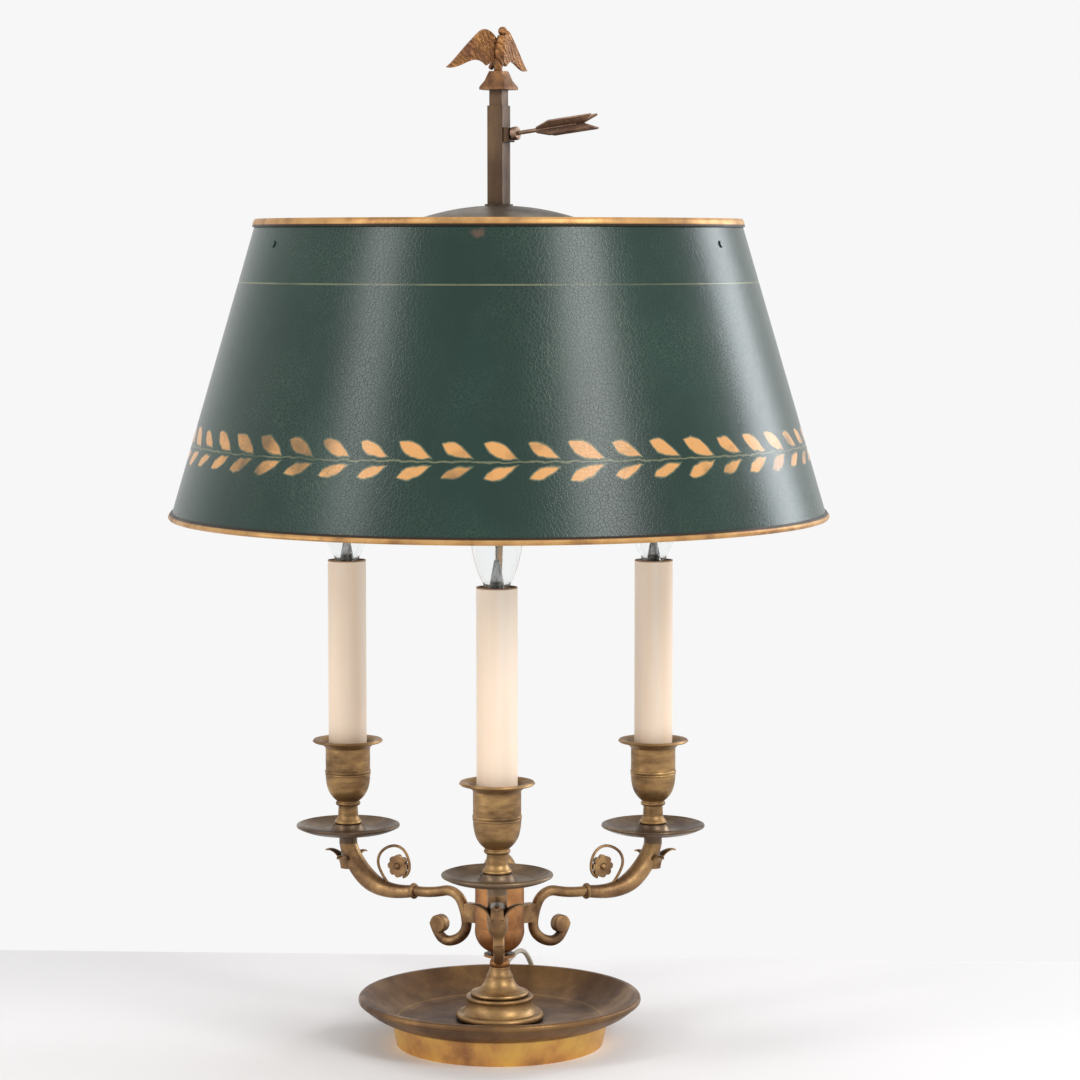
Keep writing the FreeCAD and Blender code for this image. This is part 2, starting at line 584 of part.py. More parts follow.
def makeArm(index, angle):
    tag = "_%d" % (index + 1)
    here = turn(angle)
    reach = d.armReach
    # the candle parts are turned about their own axis, which stands at the arm's end
    out = Placement(here.multVec(Vector(n(reach), 0, 0)), here.Rotation)

    def follow(thing):
        thing.setExpression("Placement.Base.x", "Dims.armReach * cos(%s deg)" % angle)
        thing.setExpression("Placement.Base.y", "Dims.armReach * sin(%s deg)" % angle)

    solidFeature("arm" + tag, castArm, here)
    solidFeature("tendril" + tag, castTendril, here)
    top = d.hornTop
    bore = d.pipeRadius + d.seatGap
    floor = top + d.panFloorRise
    rim = top + d.panRimRise
    boss = top + d.panBossRise
    wall = d.panWall
    follow(turned("drip_pan" + tag, [
        (bore, top),
        (d.panCollar, top),
        (d.panCollar, floor - wall * 1.6),
        (d.panRadius * 0.62, floor - wall),
        (d.panRadius, rim - wall * 1.4, -d.panRadius * 0.9),
        (d.panRadius, rim - wall * 0.4, -wall * 0.7),
        (d.panRadius - wall * 1.2, rim),
        (d.panRadius * 0.66, floor, d.panRadius),
        (d.panBoss + wall * 1.5, floor),
        (d.panBoss, boss, wall * 5),
        (bore, boss),
    ], out))
    neckTop = top + d.cupNeckTop
    bowlTop = top + d.cupBowlRise
    bead = top + d.cupBeadRise
    flare = top + d.cupFlareRise
    cupTop = top + d.cupTopRise
    seat = top + d.cupSeatRise
    follow(turned("candle_cup" + tag, [
        (bore, boss),
        (d.cupFootRadius, boss),
        (d.cupFootRadius, boss + 2.2, -1.4),
        (d.cupNeck + 0.3, boss + 5.4, 7.0),
        (d.cupNeck, neckTop),
        (d.cupRing, neckTop),
        (d.cupRing, neckTop + 2.4, -1.5),
        (d.cupNeck + 1.2, neckTop + 3.0),
        (d.cupBowl, bowlTop, -d.cupBowl * 1.15),
        (d.cupBarrel, bead - 2.0, -d.cupBowl * 2.2),
        (d.cupBarrel, bead - 1.4),
        (d.cupBarrel, bead + 0.2, -1.1),
        (d.cupBarrel, bead + 2.2, -1.3),
        (d.cupBarrel, flare),
        (d.cupLip - 1.0, cupTop - 2.0, 9.0),
        (d.cupLip, cupTop - 1.2),
        (d.cupLip - 0.8, cupTop),
        (d.cupBore + 1.6, flare + 1.2, -8.5),
        (d.cupBore, flare),
        (d.cupBore, seat),
        (bore, seat),
    ], out))
    inner = d.pipeRadius - d.pipeWall
    nippleBottom = top - d.nippleDepth + 0.5
    follow(turned("socket_nipple" + tag, [
        (inner, nippleBottom), (d.pipeRadius, nippleBottom), (d.pipeRadius, seat + 8),
        (inner, seat + 8)], out))
    # socket: a footed stand that screws on the nipple, and a body that holds the bulb
    socketTop = d.sleeveTop - 3.0
    socketBottom = socketTop - d.socketRise
    follow(turned("lamp_socket" + tag, [
        (bore, seat),
        (d.sleeveRadius - d.sleeveWall - 1.6, seat),
        (d.sleeveRadius - d.sleeveWall - 1.6, seat + 2.5),
        (bore + 1.4, seat + 5),
        (bore + 1.4, socketBottom - 4),
        (d.socketRadius, socketBottom),
        (d.socketRadius, socketTop),
        (d.socketBore, socketTop),
        (d.socketBore, socketTop - d.socketDepth),
        (bore, socketTop - d.socketDepth),
    ], out))
    sleeveInner = d.sleeveRadius - d.sleeveWall
    follow(turned("candle_sleeve" + tag, [
        (sleeveInner, seat), (d.sleeveRadius, seat), (d.sleeveRadius, d.sleeveTop),
        (sleeveInner, d.sleeveTop)], out))
    capBottom = socketTop - d.socketDepth
    capTop = d.sleeveTop - 1.5
    follow(turned("bulb_cap" + tag, [
        (0, capBottom), (3.0, capBottom), (d.bulbCapRadius, capBottom + 3.5), (d.bulbCapRadius, capTop),
        (d.bulbCapRadius - 0.8, capTop), (d.bulbCapRadius - 0.8, capBottom + 6), (0, capBottom + 6)], out))
    bulbTop = d.sleeveTop + d.bulbRise
    widest = d.sleeveTop + d.bulbRise * 0.4
    glass = d.glassWall
    follow(turned("bulb_glass" + tag, [
        (d.bulbCapRadius - glass, capTop),
        (d.bulbCapRadius, capTop),
        (d.bulbNeck, d.sleeveTop + 1.5),
        (d.bulbRadius, widest, -d.bulbRise * 0.8),
        (2.6, bulbTop - 3, -d.bulbRise * 0.72),
        (0, bulbTop),
        (0, bulbTop - glass * 3),
        (2.2, bulbTop - glass - 5, d.bulbRise * 0.7),
        (d.bulbRadius - glass, widest, d.bulbRise * 0.7),
        (d.bulbNeck - glass, d.sleeveTop + 1.7, d.bulbRise * 0.78),
    ], out))
    solidFeature("bulb_mount" + tag, bulbMount, out)


# Glass stem with two support wires and the filament between them
def bulbMountForm():
    top = n(d.sleeveTop)
    thin = n(d.filamentRadius)
    base = top - 1.4
    stem = Part.makeCone(5.0, 1.6, 18, Vector(0, 0, base))
    spread = 2.0
    rise = 34.0
    for side in (-1, 1):
        stem = stem.fuse(Part.makeCylinder(thin, rise + 2, Vector(side * 1.1, 0, base + 14),
                                           Vector(side * spread, 0, rise)))
    across = Part.makeCylinder(thin * 0.7, spread * 2 + 2.2, Vector(-spread - 1.1, 0, base + 14 + rise),
                               Vector(1, 0, 0))
    return stem.fuse(across).removeSplitter()


# Screws through the urn's wall into the brackets, heads inside the urn
def armScrews():
    screws = []
    height = n(d.bracketFoot + d.bracketRise / 2)
    inside = n(d.urnRadius - d.urnWall)
    for angle in armAngles:
        head = Part.makeCylinder(n(d.screwHead), 2.0, Vector(inside - 2.6, 0, height), Vector(1, 0, 0))
        shank = Part.makeCylinder(n(d.screwRadius), n(d.screwLength), Vector(inside - 0.8, 0, height),
                                  Vector(1, 0, 0))
        screw = head.fuse(shank).removeSplitter()
        screw.rotate(Vector(0, 0, 0), Vector(0, 0, 1), angle)
        screws.append(screw)
    return Part.makeCompound(screws)


# Slope of the shade's wall: how much its radius grows for each millimetre down
def shadeRadius(height):
    fall = (d.shadeBottomRadius - d.shadeTopRadius) / (d.shadeTop - d.shadeBottom)
    return d.shadeTopRadius + (d.shadeTop - height) * fall


def makeShade():
    wall = d.shadeWall
    low = d.shadeBottom
    high = d.shadeTop
    turned("shade_cone", [
        (d.shadeBottomRadius - wall, low), (d.shadeBottomRadius, low),
        (d.shadeTopRadius, high), (d.shadeTopRadius - wall, high)])
    rise = d.shadeRimRise
    thick = d.shadeRimThick
    topUnder = high - rise
    turned("shade_top_rim", [
        (shadeRadius(topUnder), topUnder),
        (shadeRadius(topUnder) + thick * 0.7, topUnder),
        (shadeRadius(high - rise / 2) + thick, high - rise / 2),
        (d.shadeTopRadius + thick, high - thick * 0.3),
        (d.shadeTopRadius + thick * 0.4, high + thick * 0.5),
        (d.shadeTopRadius - wall - thick * 0.4, high + thick * 0.5),
        (d.shadeTopRadius - wall - thick * 0.4, high),
        (d.shadeTopRadius, high)])
    lowOver = low + rise * 0.8
    lowUnder = low - thick * 0.6
    turned("shade_bottom_rim", [
        (d.shadeBottomRadius, low),
        (d.shadeBottomRadius - wall - thick * 0.4, low),
        (d.shadeBottomRadius - wall - thick * 0.4, lowUnder),
        (d.shadeBottomRadius + thick * 0.5, lowUnder),
        (d.shadeBottomRadius + thick, low),
        (d.shadeBottomRadius + thick, low + thick * 0.6),
        (shadeRadius(lowOver) + thick * 0.6, lowOver),
        (shadeRadius(lowOver), lowOver)])


# Underside of the spider's hub, where the square tube starts
def hubUnder():
    return d.domeTop - d.hubRise * 0.84


# Domed plate with three straps that come down to the shade's wall
def spiderForm():
    top = n(d.domeTop)
    radius = n(d.domeRadius)
    drop = n(d.domeDrop)
    thick = n(d.domeThick)
    ball = (radius ** 2 + drop ** 2) / (2 * drop)
    outside = Part.makeSphere(ball, Vector(0, 0, top - ball))
    inside = Part.makeSphere(ball - thick, Vector(0, 0, top - ball))
    dome = outside.cut(inside).common(Part.makeCylinder(radius, drop, Vector(0, 0, top - drop)))
    wide = n(d.spiderWidth)
    strap = n(d.spiderThick)
    end = n(d.spiderEnd)
    tab = n(d.spiderTab)
    wallInside = n(shadeRadius(d.spiderEnd) - d.shadeWall)
    startX = radius * 0.84
    startZ = top - drop * 0.9
    bendX = wallInside - tab * 0.75
    bendZ = end + strap * 1.9
    tabX = n(shadeRadius(d.spiderEnd - d.spiderTab) - d.shadeWall)
    path = [Vector(startX, 0, startZ), Vector(bendX, 0, bendZ), Vector(wallInside, 0, end),
            Vector(tabX, 0, end - tab), Vector(tabX - strap, 0, end - tab),
            Vector(wallInside - strap, 0, end - strap * 0.75), Vector(bendX - strap * 0.4, 0, bendZ - strap),
            Vector(startX, 0, startZ - strap)]
    face = Part.Face(Part.makePolygon(path + [path[0]]))
    # the room inside the shade, carried up to the top of the dome
    room = Part.makeCone(n(d.shadeBottomRadius - d.shadeWall), n(shadeRadius(d.domeTop) - d.shadeWall),
                         n(d.domeTop - d.shadeBottom), Vector(0, 0, n(d.shadeBottom)))
    for angle in armAngles:
        arm = face.extrude(Vector(0, wide, 0))
        arm.translate(Vector(0, -wide / 2, 0))
        arm = arm.common(room)
        arm.rotate(Vector(0, 0, 0), Vector(0, 0, 1), angle + 60)
        dome = dome.fuse(arm)
    hubRise = n(d.hubRise)
    hub = Part.makeCylinder(n(d.hubRadius), hubRise, Vector(0, 0, n(hubUnder())))
    dome = dome.fuse(hub)
    side = n(d.tubeSide)
    hole = Part.makeBox(side, side, 4 * drop, Vector(-side / 2, -side / 2, top - 2 * drop))
    hole.rotate(Vector(0, 0, 0), Vector(0, 0, 1), n(d.squareTurn))
    return dome.cut(hole).removeSplitter()


def rivetForms():
    heads = []
    height = d.spiderEnd - d.spiderTab / 2
    wall = n(shadeRadius(height))
    fall = n(d.shadeBottomRadius - d.shadeTopRadius) / n(d.shadeTop - d.shadeBottom)
    out = Vector(1, 0, fall).normalize()
    radius = n(d.rivetRadius)
    for angle in armAngles:
        head = Part.makeCylinder(radius, n(d.rivetThick), Vector(wall, 0, n(height)), out)
        head.rotate(Vector(0, 0, 0), Vector(0, 0, 1), angle + 60)
        heads.append(head)
    return Part.makeCompound(heads)


# Square tube that slides on the bar, with the boss for the key on its right face
def makeSlideTube():
    bottom = hubUnder()
    tube = extruded("slide_tube", "XY_Plane", squareOutline(d.tubeSide), d.tubeTop - bottom,
                    turn(n(d.squareTurn)), offset=Placement(Vector(0, 0, n(bottom)), Rotation()))
    tube.Group[-2].setExpression("AttachmentOffset.Base.z", bottom.text)
    squareBore(tube, "slide_tube", d.barSide + d.slideFit * 2, bottom, d.tubeTop - bottom)
    squareHole(tube)


def keyFrame():
    face = n(d.tubeSide) / 2
    base = Placement(Vector(0, 0, n(d.keyHeight)), Rotation(Vector(0, 0, 1), n(d.squareTurn)))
    tilt = Placement(Vector(face, 0, 0), Rotation(Vector(0, 1, 0), -n(d.keyRise)))
    return base.multiply(tilt)


# The key's hole goes through the tube's wall on the side of the boss
def squareHole(tube):
    offset = Placement(Vector(0, n(d.keyHeight), 0), Rotation())
    sketch = newSketch(tube, "slide_tube_key", "YZ_Plane", offset)
    sketch.setExpression("AttachmentOffset.Base.y", d.keyHeight.text)
    radius = d.keyShank + d.slideFit + 0.25
    sketch.addGeometry(Part.Circle(Vector(0, 0, 0), Vector(0, 0, 1), n(radius)), False)
    sketch.addConstraint(Sketcher.Constraint("Coincident", 0, 3, -1, 1))
    index = sketch.addConstraint(Sketcher.Constraint("Radius", 0, n(radius)))
    sketch.setExpression("Constraints[%d]" % index, radius.text)
    hole = tube.newObject("PartDesign::Pocket", "slide_tube_key_hole")
    hole.Profile = sketch
    hole.Reversed = True
    hole.setExpression("Length", d.tubeSide.text)
    tube.Tip = hole


def keyBoss():
    wide = n(d.bossWidth)
    thick = n(d.bossThick)
    face = n(d.tubeSide) / 2
    block = Part.makeBox(thick, wide, wide, Vector(face, -wide / 2, -wide / 2))
    block = block.makeFillet(0.8, [e for e in block.Edges if abs(e.CenterOfMass.x - face - thick) < 0.01])
    bore = Part.makeCylinder(n(d.keyShank + d.slideFit), 40, Vector(-20, 0, 0), Vector(1, 0, 0))
    bore.Placement = Placement(Vector(face, 0, 0), Rotation(Vector(0, 1, 0), -n(d.keyRise)))
    return block.cut(bore)


# Key shaped like the tail of an arrow: shank, round collar, stem and four vanes
def keyForm():
    inward = (n(d.tubeSide - d.barSide)) / 2
    boss = n(d.bossThick) + 0.6
    shank = Part.makeCylinder(n(d.keyShank), boss + inward - 0.35, Vector(0.35 - inward, 0, 0), Vector(1, 0, 0))
    collar = Part.makeCylinder(n(d.keyCollar), n(d.keyCollarLength), Vector(boss, 0, 0), Vector(1, 0, 0))
    collar = collar.makeFillet(0.9, collar.Edges[:1] + collar.Edges[2:3])
    start = boss + n(d.keyCollarLength)
    vaneStart = start + n(d.keyStemLength)
    length = n(d.vaneLength)
    stem = Part.makeCylinder(n(d.keyStem), n(d.keyStemLength) + length * 0.7, Vector(start - 0.5, 0, 0),
                             Vector(1, 0, 0))
    key = shank.fuse(collar).fuse(stem)
    half = n(d.vaneWidth)
    thick = n(d.vaneThick)
    outline = [Vector(vaneStart, -half * 0.35, 0), Vector(vaneStart + length * 0.25, -half, 0),
               Vector(vaneStart + length, -half, 0), Vector(vaneStart + length * 0.78, 0, 0),
               Vector(vaneStart + length, half, 0), Vector(vaneStart + length * 0.25, half, 0),
               Vector(vaneStart, half * 0.35, 0)]
    vane = Part.Face(Part.makePolygon(outline + [outline[0]])).extrude(Vector(0, 0, thick))
    vane.translate(Vector(0, 0, -thick / 2))
    for angle in (45, 135):
        blade = vane.copy()
        blade.rotate(Vector(0, 0, 0), Vector(1, 0, 0), angle)
        key = key.fuse(blade)
    return key.removeSplitter()


# Rough pyramid of rock under the eagle
def rockForm():
    base = n(d.barTop)
    rise = n(d.plinthRise)
    side = n(d.plinthSide)
    small = n(d.plinthTopSide)
    rings = []
    for share, half, twist in ((0.0, side / 2, 0), (0.14, side / 2, 0), (0.5, side * 0.37, 5), (0.8, side * 0.29, -4),
                               (1.0, small / 2, 3)):
        corners = []
        for k in range(8):
            reach = half * (1.0 if k % 2 == 0 else 1.22)
            angle = math.radians(45 * k + twist)
            corners.append(Vector(reach * math.cos(angle), reach * math.sin(angle), base + rise * share))
        rings.append(Part.makePolygon(corners + [corners[0]]))
    return Part.makeLoft(rings, True, True)


# Eagle with raised wings. It looks along +X, and its wings lie along +Y and -Y, swept back.
def eagleForm():
    foot = n(d.barTop + d.plinthRise)
    top = n(d.eagleTop)
    tall = top - foot
    body = None
    rings = []
    for share, x, half, deep, slope in ((0.0, -0.6, 2.6, 2.6, 90), (0.22, 0.0, 3.6, 3.4, 84), (0.45, 1.2, 4.4, 4.2, 76),
                                        (0.66, 2.4, 3.5, 3.6, 80), (0.8, 2.8, 2.5, 2.7, 88)):
        ellipse = Part.Ellipse(Vector(0, 0, 0), max(half, deep) + 0.01, min(half, deep)).toShape()
        wire = Part.Wire([ellipse])
        wire.Placement = Placement(Vector(x, 0, foot + tall * share), Rotation(Vector(0, 1, 0), 90 - slope))
        rings.append(wire)
    body = Part.makeLoft(rings, True, False)
    head = Part.makeSphere(2.9, Vector(3.6, 0, top - 3.1))
    beak = Part.makeCone(1.7, 0.4, 4.6, Vector(5.4, 0, top - 3.0), Vector(0.86, 0, -0.5))
    body = body.fuse(head).fuse(beak)
    tail = Part.makeCone(3.0, 1.6, 9.0, Vector(-1.0, 0, foot + tall * 0.3), Vector(-0.62, 0, -0.6))
    body = body.fuse(tail)
    span = n(d.wingSpan)
    thick = n(d.wingThick)
    # outline of one wing: along the wing, and height
    edge = [Vector(1.0, 0, foot + tall * 0.30), Vector(1.0, 0, foot + tall * 0.66),
            Vector(span * 0.12, 0, foot + tall * 0.84), Vector(span * 0.29, 0, foot + tall * 0.93),
            Vector(span * 0.42, 0, foot + tall * 0.82), Vector(span * 0.72, 0, foot + tall * 0.42),
            Vector(span, 0, foot + tall * 0.06), Vector(span * 0.72, 0, foot + tall * 0.12),
            Vector(span * 0.45, 0, foot + tall * 0.24), Vector(span * 0.24, 0, foot + tall * 0.12)]
    upper = Part.BSplineCurve()
    upper.interpolate(edge[1:7])
    lower = Part.BSplineCurve()
    lower.interpolate(edge[6:])
    outline = Part.Wire([Part.LineSegment(edge[0], edge[1]).toShape(), upper.toShape(), lower.toShape(),
                         Part.LineSegment(edge[-1], edge[0]).toShape()])
    wing = Part.Face(outline).extrude(Vector(0, thick, 0))
    wing.translate(Vector(0, -thick / 2, 0))
    sweep = math.degrees(math.atan2(n(d.wingSweep), span))
    for side in (1, -1):
        copy = wing.copy()
        if side < 0:
            copy = copy.mirror(Vector(0, 0, 0), Vector(0, 1, 0))
        copy.rotate(Vector(0, 0, 0), Vector(0, 0, 1), side * (90 + sweep))
        body = body.fuse(copy)
    return body.removeSplitter()


# The cord. Its points were chosen by hand: out of the bush behind the neck, over the rim of the
# dish, down to the table and, behind the dish, through the switch and the coil to the plug.
cordToSwitch = [
    (3.95, 25.6, 46.5), (7.9, 47.9, 46.5), (12.0, 68.0, 45.8), (16.2, 86.0, 41.0), (20.6, 99.5, 29.0),
    (24.2, 106.5, 13.0), (27.0, 116.5, 3.4), (29.0, 131.5, 1.75), (25.0, 147.5, 1.75), (11.0, 156.5, 2.4),
    (-7.0, 153.5, 5.0)]
cordToCoil = [
    (-56.3, 145.3, 5.0), (-71.1, 142.8, 2.4), (-83.0, 130.5, 1.75), (-86.0, 113.0, 1.75), (-78.5, 96.5, 1.75),
    (-63.0, 85.0, 1.75), (-46.5, 78.7, 1.75), (-30.0, 78.7, 1.75)]
cordToPlug = [
    (-30.0, 78.7, 13.99), (-18.0, 78.7, 13.5), (-6.0, 81.6, 9.6), (6.0, 85.5, 6.7), (18.0, 87.0, 6.5)]
coilMiddle = Vector(-30.0, 104.54, 1.75)
coilTurns = 12
coilLayers = 4


# Straight runs with the largest arcs that they allow at the points between them
def cordRoute(points):
    corners = [Vector(*p) for p in points]
    edges = []
    radii = []
    reached = corners[0]
    for before, corner, after in zip(corners[:-2], corners[1:-1], corners[2:]):
        incoming = (corner - before).normalize()
        outgoing = (after - corner).normalize()
        shorter = min((corner - before).Length, (after - corner).Length)
        halfTurn = incoming.getAngle(outgoing) / 2
        if halfTurn < 0.002:
            continue
        cut = 0.45 * shorter
        radius = cut / math.tan(halfTurn)
        arcStart = corner - incoming * cut
        arcEnd = corner + outgoing * cut
        centre = corner + (outgoing - incoming).normalize() * (radius / math.cos(halfTurn))
        middle = centre + (corner - centre).normalize() * radius
        edges.append(Part.LineSegment(reached, arcStart).toShape())
        edges.append(Part.Arc(arcStart, middle, arcEnd).toShape())
        radii.append(round(radius, 1))
        reached = arcEnd
    edges.append(Part.LineSegment(reached, corners[-1]).toShape())
    return edges, radii


def cordStretch(label, points):
    edges, radii = cordRoute(points)
    direction = (Vector(*points[1]) - Vector(*points[0])).normalize()
    tube = pipeSolid(edges, direction, n(d.cordRadius))
    length = sum(e.Length for e in edges)
    expected = math.pi * n(d.cordRadius) ** 2 * length
    print(label, "radii", radii, "length", round(length, 1), "volume share", round(tube.Volume / expected, 4))
    solidFeature(label, tube)
    return length


# A point of the coil and its heading, by turns from the start. The spiral goes in and out again,
# a layer each way, and climbs in the half turn where it reverses.
def coilPoint(turns):
    perLayer = coilTurns / coilLayers
    pitch = n(d.coilPitch)
    layer = min(int(turns / perLayer), coilLayers - 1)
    within = turns / perLayer - layer
    inward = layer % 2 == 0
    share = 1 - within if inward else within
    radius = n(d.coilInner) + pitch * perLayer * share
    level = float(layer)
    nearest = round(turns / perLayer)
    if 0 < nearest < coilLayers:
        apart = turns - nearest * perLayer
        if abs(apart) < 0.25:
            level = nearest - 0.5 + apart * 2
    angle = 2 * math.pi * turns - math.pi / 2
    return coilMiddle + Vector(radius * math.cos(angle), radius * math.sin(angle), pitch * level)


def coilHeading(turns):
    angle = 2 * math.pi * turns - math.pi / 2
    around = Vector(-math.sin(angle), math.cos(angle), 0)
    return around


def biarc(start, startHeading, end, endHeading):
    span = end - start
    both = startHeading + endHeading
    unlike = 1 - startHeading.dot(endHeading)
    along = span.dot(both)
    reach = (-along + math.sqrt(along ** 2 + 2 * unlike * span.Length ** 2)) / (2 * unlike)
    joint = (start + end + (startHeading - endHeading) * reach) * 0.5
    first, heading = tangentArc(start, startHeading, joint)
    second, heading = tangentArc(joint, heading, end)
    return [first, second]


def makeCoil():
    stops = [0.0]
    while stops[-1] < coilTurns - 1e-6:
        here = stops[-1]
        perLayer = coilTurns / coilLayers
        nearest = round(here / perLayer) * perLayer
        # quarter turns on each side of a climb, half turns elsewhere
        step = 0.25 if abs(here - nearest) < 0.26 or abs(here + 0.25 - nearest) < 0.26 else 0.5
        stops.append(min(here + step, coilTurns))
    edges = []
    for here, there in zip(stops[:-1], stops[1:]):
        edges += biarc(coilPoint(here), coilHeading(here), coilPoint(there), coilHeading(there))
    tube = pipeSolid(edges, coilHeading(0), n(d.cordRadius))
    length = sum(e.Length for e in edges)
    expected = math.pi * n(d.cordRadius) ** 2 * length
    samples = []
    walked = 0.0
    for edge in edges:
        for point in edge.discretize(9)[:-1]:
            samples.append((walked, point))
            walked += edge.Length / 8
    least = min((a[1] - b[1]).Length for i, a in enumerate(samples) for b in samples[i + 1:]
                if b[0] - a[0] > 12 * n(d.cordRadius))
    print("coil length", round(length, 1), "volume share", round(tube.Volume / expected, 4),
          "least gap", round(least - 2 * n(d.cordRadius), 2), "solid", tube.isValid(), len(edges))
    solidFeature("cord_coil", tube)
    return length


# Tapered bush that holds the cord at the back of the pedestal's neck
def makeBush(pedestal):
    end = Vector(*cordToSwitch[0])
    heading = (Vector(*cordToSwitch[1]) - end).normalize()
    length = n(d.bushLength)
    start = end - heading * length
    bush = Part.makeCone(n(d.bushRadius), n(d.cordRadius) + 0.8, length, start, heading)
    ribs = 4
    for k in range(ribs):
        at = start + heading * (length * (0.45 + 0.13 * k))
        bush = bush.cut(Part.makeTorus(n(d.bushRadius) + 0.55 - k * 0.28, 0.6, at, heading))
    around = Part.makeCylinder(n(d.flareRadius), 20, Vector(0, 0, 36))
    inside = pedestal.Shape.fuse(Part.makeCylinder(n(d.pipeRadius) + 0.5, 20, Vector(0, 0, 36)))
    bush = bush.cut(inside.common(around.fuse(inside)))
    solids = sorted(bush.Solids, key=lambda s: s.Volume)
    solidFeature("cord_bush", solids[-1])


# Switch on the cord: a rounded case with a well, and a rocker that tips in it
def switchFrame():
    first = Vector(*cordToSwitch[-1])
    last = Vector(*cordToCoil[0])
    heading = last - first
    angle = math.degrees(math.atan2(heading.y, heading.x))
    middle = (first + last) * 0.5
    return Placement(Vector(middle.x, middle.y, 0), Rotation(Vector(0, 0, 1), angle)), heading.Length


def makeSwitch():
    here, length = switchFrame()
    wide = n(d.switchWidth)
    tall = n(d.switchRise)
    level = cordToCoil[0][2]
    case = Part.makeBox(length - 2, wide, tall, Vector(-length / 2 + 1, -wide / 2, 0))
    upright = [e for e in case.Edges if abs(e.CenterOfMass.z - tall / 2) < 0.01]
    case = case.makeFillet(wide * 0.36, upright)
    case = case.makeFillet(1.6, [e for e in case.Edges if e.CenterOfMass.z > tall - 0.01])
    for side in (-1, 1):
        nose = Part.makeCylinder(n(d.cordRadius) + 1.4, 3.0, Vector(side * length / 2, 0, level),
                                 Vector(-side, 0, 0))
        case = case.fuse(nose)
    rocker = n(d.rockerLength) / 2
    thick = n(d.rockerWidth)
    pivot = tall - 0.8
    well = Part.makeCylinder(rocker + 0.3, thick + 0.6, Vector(0, -thick / 2 - 0.3, pivot), Vector(0, 1, 0))
    solidFeature("switch_case", case.cut(well).removeSplitter(), here)
    button = Part.makeCylinder(rocker, thick, Vector(0, -thick / 2, pivot), Vector(0, 1, 0))
    slope = math.tan(math.radians(8))
    peak = pivot + 2.4
    low = pivot - rocker - 1
    edge = peak - slope * (rocker + 1)
    profile = [Vector(-rocker - 1, -thick, low), Vector(rocker + 1, -thick, low), Vector(rocker + 1, -thick, edge),
               Vector(0, -thick, peak), Vector(-rocker - 1, -thick, edge)]
    keepBelow = Part.Face(Part.makePolygon(profile + [profile[0]])).extrude(Vector(0, 2 * thick, 0))
    button = button.common(keepBelow)
    button.rotate(Vector(0, 0, pivot), Vector(0, 1, 0), 8)
    solidFeature("switch_rocker", button.removeSplitter(), here)


def makePlug():
    end = Vector(*cordToPlug[-1])
    heading = end - Vector(*cordToPlug[-2])
    angle = math.degrees(math.atan2(heading.y, heading.x))
    here = Placement(Vector(end.x, end.y, 0), Rotation(Vector(0, 0, 1), angle))
    taper = n(d.bushLength)
    level = end.z
    tall = n(d.plugRise)
    wide = n(d.plugWidth)
    long = n(d.plugLength)
    relief = Part.makeCone(n(d.cordRadius) + 0.6, n(d.cordRadius) + 2.6, taper + 2, Vector(0, 0, level),
                           Vector(1, 0, 0))
    case = Part.makeBox(long, wide, tall, Vector(taper, -wide / 2, 0))
    case = case.makeFillet(2.4, [e for e in case.Edges if e.CenterOfMass.x < taper + long - 0.01])
    solidFeature("plug_body", case.fuse(relief).removeSplitter(), here)
    pins = []
    for side in (-1, 1):
        pin = Part.makeBox(n(d.pinLength), n(d.pinThick), n(d.pinWidth),
                           Vector(taper + long, side * n(d.pinGap) / 2 - n(d.pinThick) / 2, tall / 2 - n(d.pinWidth) / 2))
        tips = [e for e in pin.Edges if abs(e.CenterOfMass.x - taper - long - n(d.pinLength)) < 0.01
                and abs(e.Length - n(d.pinThick)) < 0.01]
        pins.append(pin.makeFillet(1.6, tips))
    solidFeature("plug_pins", Part.makeCompound(pins), here)


castArm = armCasting()
castTendril = tendrilForm().cut(castArm)
bulbMount = bulbMountForm()

makeDish()
makePedestal()
makeNeckKnop()
makeUrn()
makeUrnCap()
makeTie()
makeStem()
solidFeature("arm_screws", armScrews())
for armIndex, armAngle in enumerate(armAngles):
    makeArm(armIndex, armAngle)
makeShade()
solidFeature("shade_spider", spiderForm())
solidFeature("spider_rivets", rivetForms())
makeSlideTube()
solidFeature("key_boss", keyBoss(), Placement(Vector(0, 0, n(d.keyHeight)), Rotation(Vector(0, 0, 1), n(d.squareTurn))))
solidFeature("key_screw", keyForm(), keyFrame())
solidFeature("finial_rock", rockForm(), turn(n(d.squareTurn)))
solidFeature("finial_eagle", eagleForm(), turn(n(d.eagleTurn)))

doc.recompute()
makeBush(doc.getObject("pedestal_body"))
cordLength = cordStretch("cord_lead", cordToSwitch) + cordStretch("cord_link", cordToCoil)
cordLength += makeCoil() + cordStretch("cord_tail", cordToPlug)
print("cord length in all", round(cordLength + switchFrame()[1], 1))
makeSwitch()
makePlug()

doc.recompute()
for thing in doc.Objects:
    for state in thing.State:
        if state in ("Invalid", "Error"):
            raise RuntimeError("%s is %s" % (thing.Name, state))
os.makedirs("parts", exist_ok=True)
for part in parts:
    if part.Shape.isNull() or not part.Shape.isValid():
        raise RuntimeError("%s has a bad shape" % part.Label)
    part.Shape.exportStep("parts/%s.step" % part.Label)
    print(part.Label, len(part.Shape.Solids), round(part.Shape.Volume, 1))
